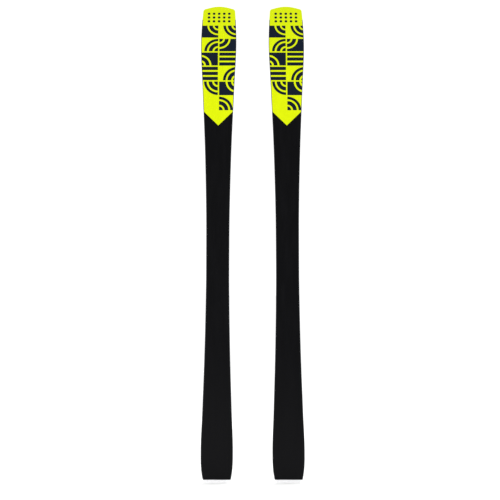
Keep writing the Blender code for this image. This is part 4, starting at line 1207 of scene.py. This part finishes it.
def make_tail_rivets(hand, shift):
    """Two flush rivets through the tail piece, seen on the topsheet."""
    profile = [(3.2 * MM, -0.2 * MM), (3.2 * MM, 0.25 * MM), (2.4 * MM, 0.55 * MM), (0.8 * MM, 0.65 * MM)]
    across, z = TAIL_RIVET
    rivets = []
    for side in (-1, 1):
        place = on_ski(side * across, z, thickness(z))
        rivets.append(moved(turned(profile), place, TAIL_RIVET_TURN))
    shown(f"{hand}_tail_rivets", together(rivets), f"{hand}_ski", "tail_aluminium", (), shift)


def make_binding(hand):
    """Everything on one binding that the CAD leaves plain."""
    shift = Vector((SIDES[hand] * SKI_CENTRE, TOPSHEET_Y, BOOT_CENTRE_Z))
    make_toe_details(hand, shift)
    make_track(hand, shift)
    make_heel_details(hand, shift)
    make_brake_details(hand, shift)
    make_tail_rivets(hand, Vector((SIDES[hand] * SKI_CENTRE, 0.0, 0.0)))


# ---------- the pair

FINISHES = make_finishes()
for hand in SIDES:
    make_ski(hand)
    make_binding(hand)
    for part, slot in NODE_FINISHES.items():
        node = frame["nodes"][f"{hand}_{part}"]
        node.data.materials.clear()
        node.data.materials.append(FINISHES[slot])


# ---------- floor, light and camera

def make_floor():
    """Plain pale studio floor."""
    work = bmesh.new()
    bmesh.ops.create_circle(work, cap_ends=True, segments=96, radius=FLOOR_RADIUS)
    mesh = mesh_from(work, "floor")
    finish = Finish("floor", (0.95, 0.95, 0.95), 0.75, specular=0.1)
    finish.tint(finish.span(finish.noise(0.35, 3.0), 0.35, 0.70, 0.0, 0.4), (0.93, 0.93, 0.93))
    finish.shader.inputs["Emission Color"].default_value = (1.0, 1.0, 1.0, 1.0)
    finish.shader.inputs["Emission Strength"].default_value = FLOOR_GLOW
    mesh.materials.append(finish.done())
    floor = bpy.data.objects.new("floor", mesh)
    bpy.context.scene.collection.objects.link(floor)
    floor.location.z = cad_low.z - FLOOR_GAP


def make_light(name, place, aim, size, power):
    """One soft square light aimed at a point."""
    light = bpy.data.lights.new(name, "AREA")
    light.shape = "SQUARE"
    light.size = size
    light.energy = power
    lamp = bpy.data.objects.new(name, light)
    bpy.context.scene.collection.objects.link(lamp)
    lamp.location = place
    lamp.rotation_mode = "QUATERNION"
    lamp.rotation_quaternion = (Vector(aim) - Vector(place)).to_track_quat("-Z", "Y")


def make_camera():
    """Camera low in front of the bases, looking slightly up."""
    data = bpy.data.cameras.new("camera")
    data.lens = LENS
    camera = bpy.data.objects.new("camera", data)
    bpy.context.scene.collection.objects.link(camera)
    aim = Vector((CAMERA_SIDE, CONTACT_PLANE_Y, AIM_HEIGHT))
    camera.location = Vector((CAMERA_SIDE, CONTACT_PLANE_Y - CAMERA_DISTANCE, CAMERA_HEIGHT))
    camera.rotation_mode = "QUATERNION"
    camera.rotation_quaternion = (aim - camera.location).to_track_quat("-Z", "Y")
    bpy.context.scene.camera = camera


world = bpy.data.worlds.new("studio")
world.use_nodes = True
sky = world.node_tree.nodes["Background"]
sky.inputs["Color"].default_value = (1.0, 1.0, 1.0, 1.0)
sky.inputs["Strength"].default_value = SKY_STRENGTH
bpy.context.scene.world = world
bpy.context.scene.view_settings.view_transform = "Standard"

make_floor()
make_light("key", (-1.2, -3.6, 0.35), (0.0, 0.0, 0.6), 1.2, 30.0)
make_light("back", (1.4, 2.4, 3.2), (0.0, 0.0, 0.9), 3.0, 50.0)
make_camera()
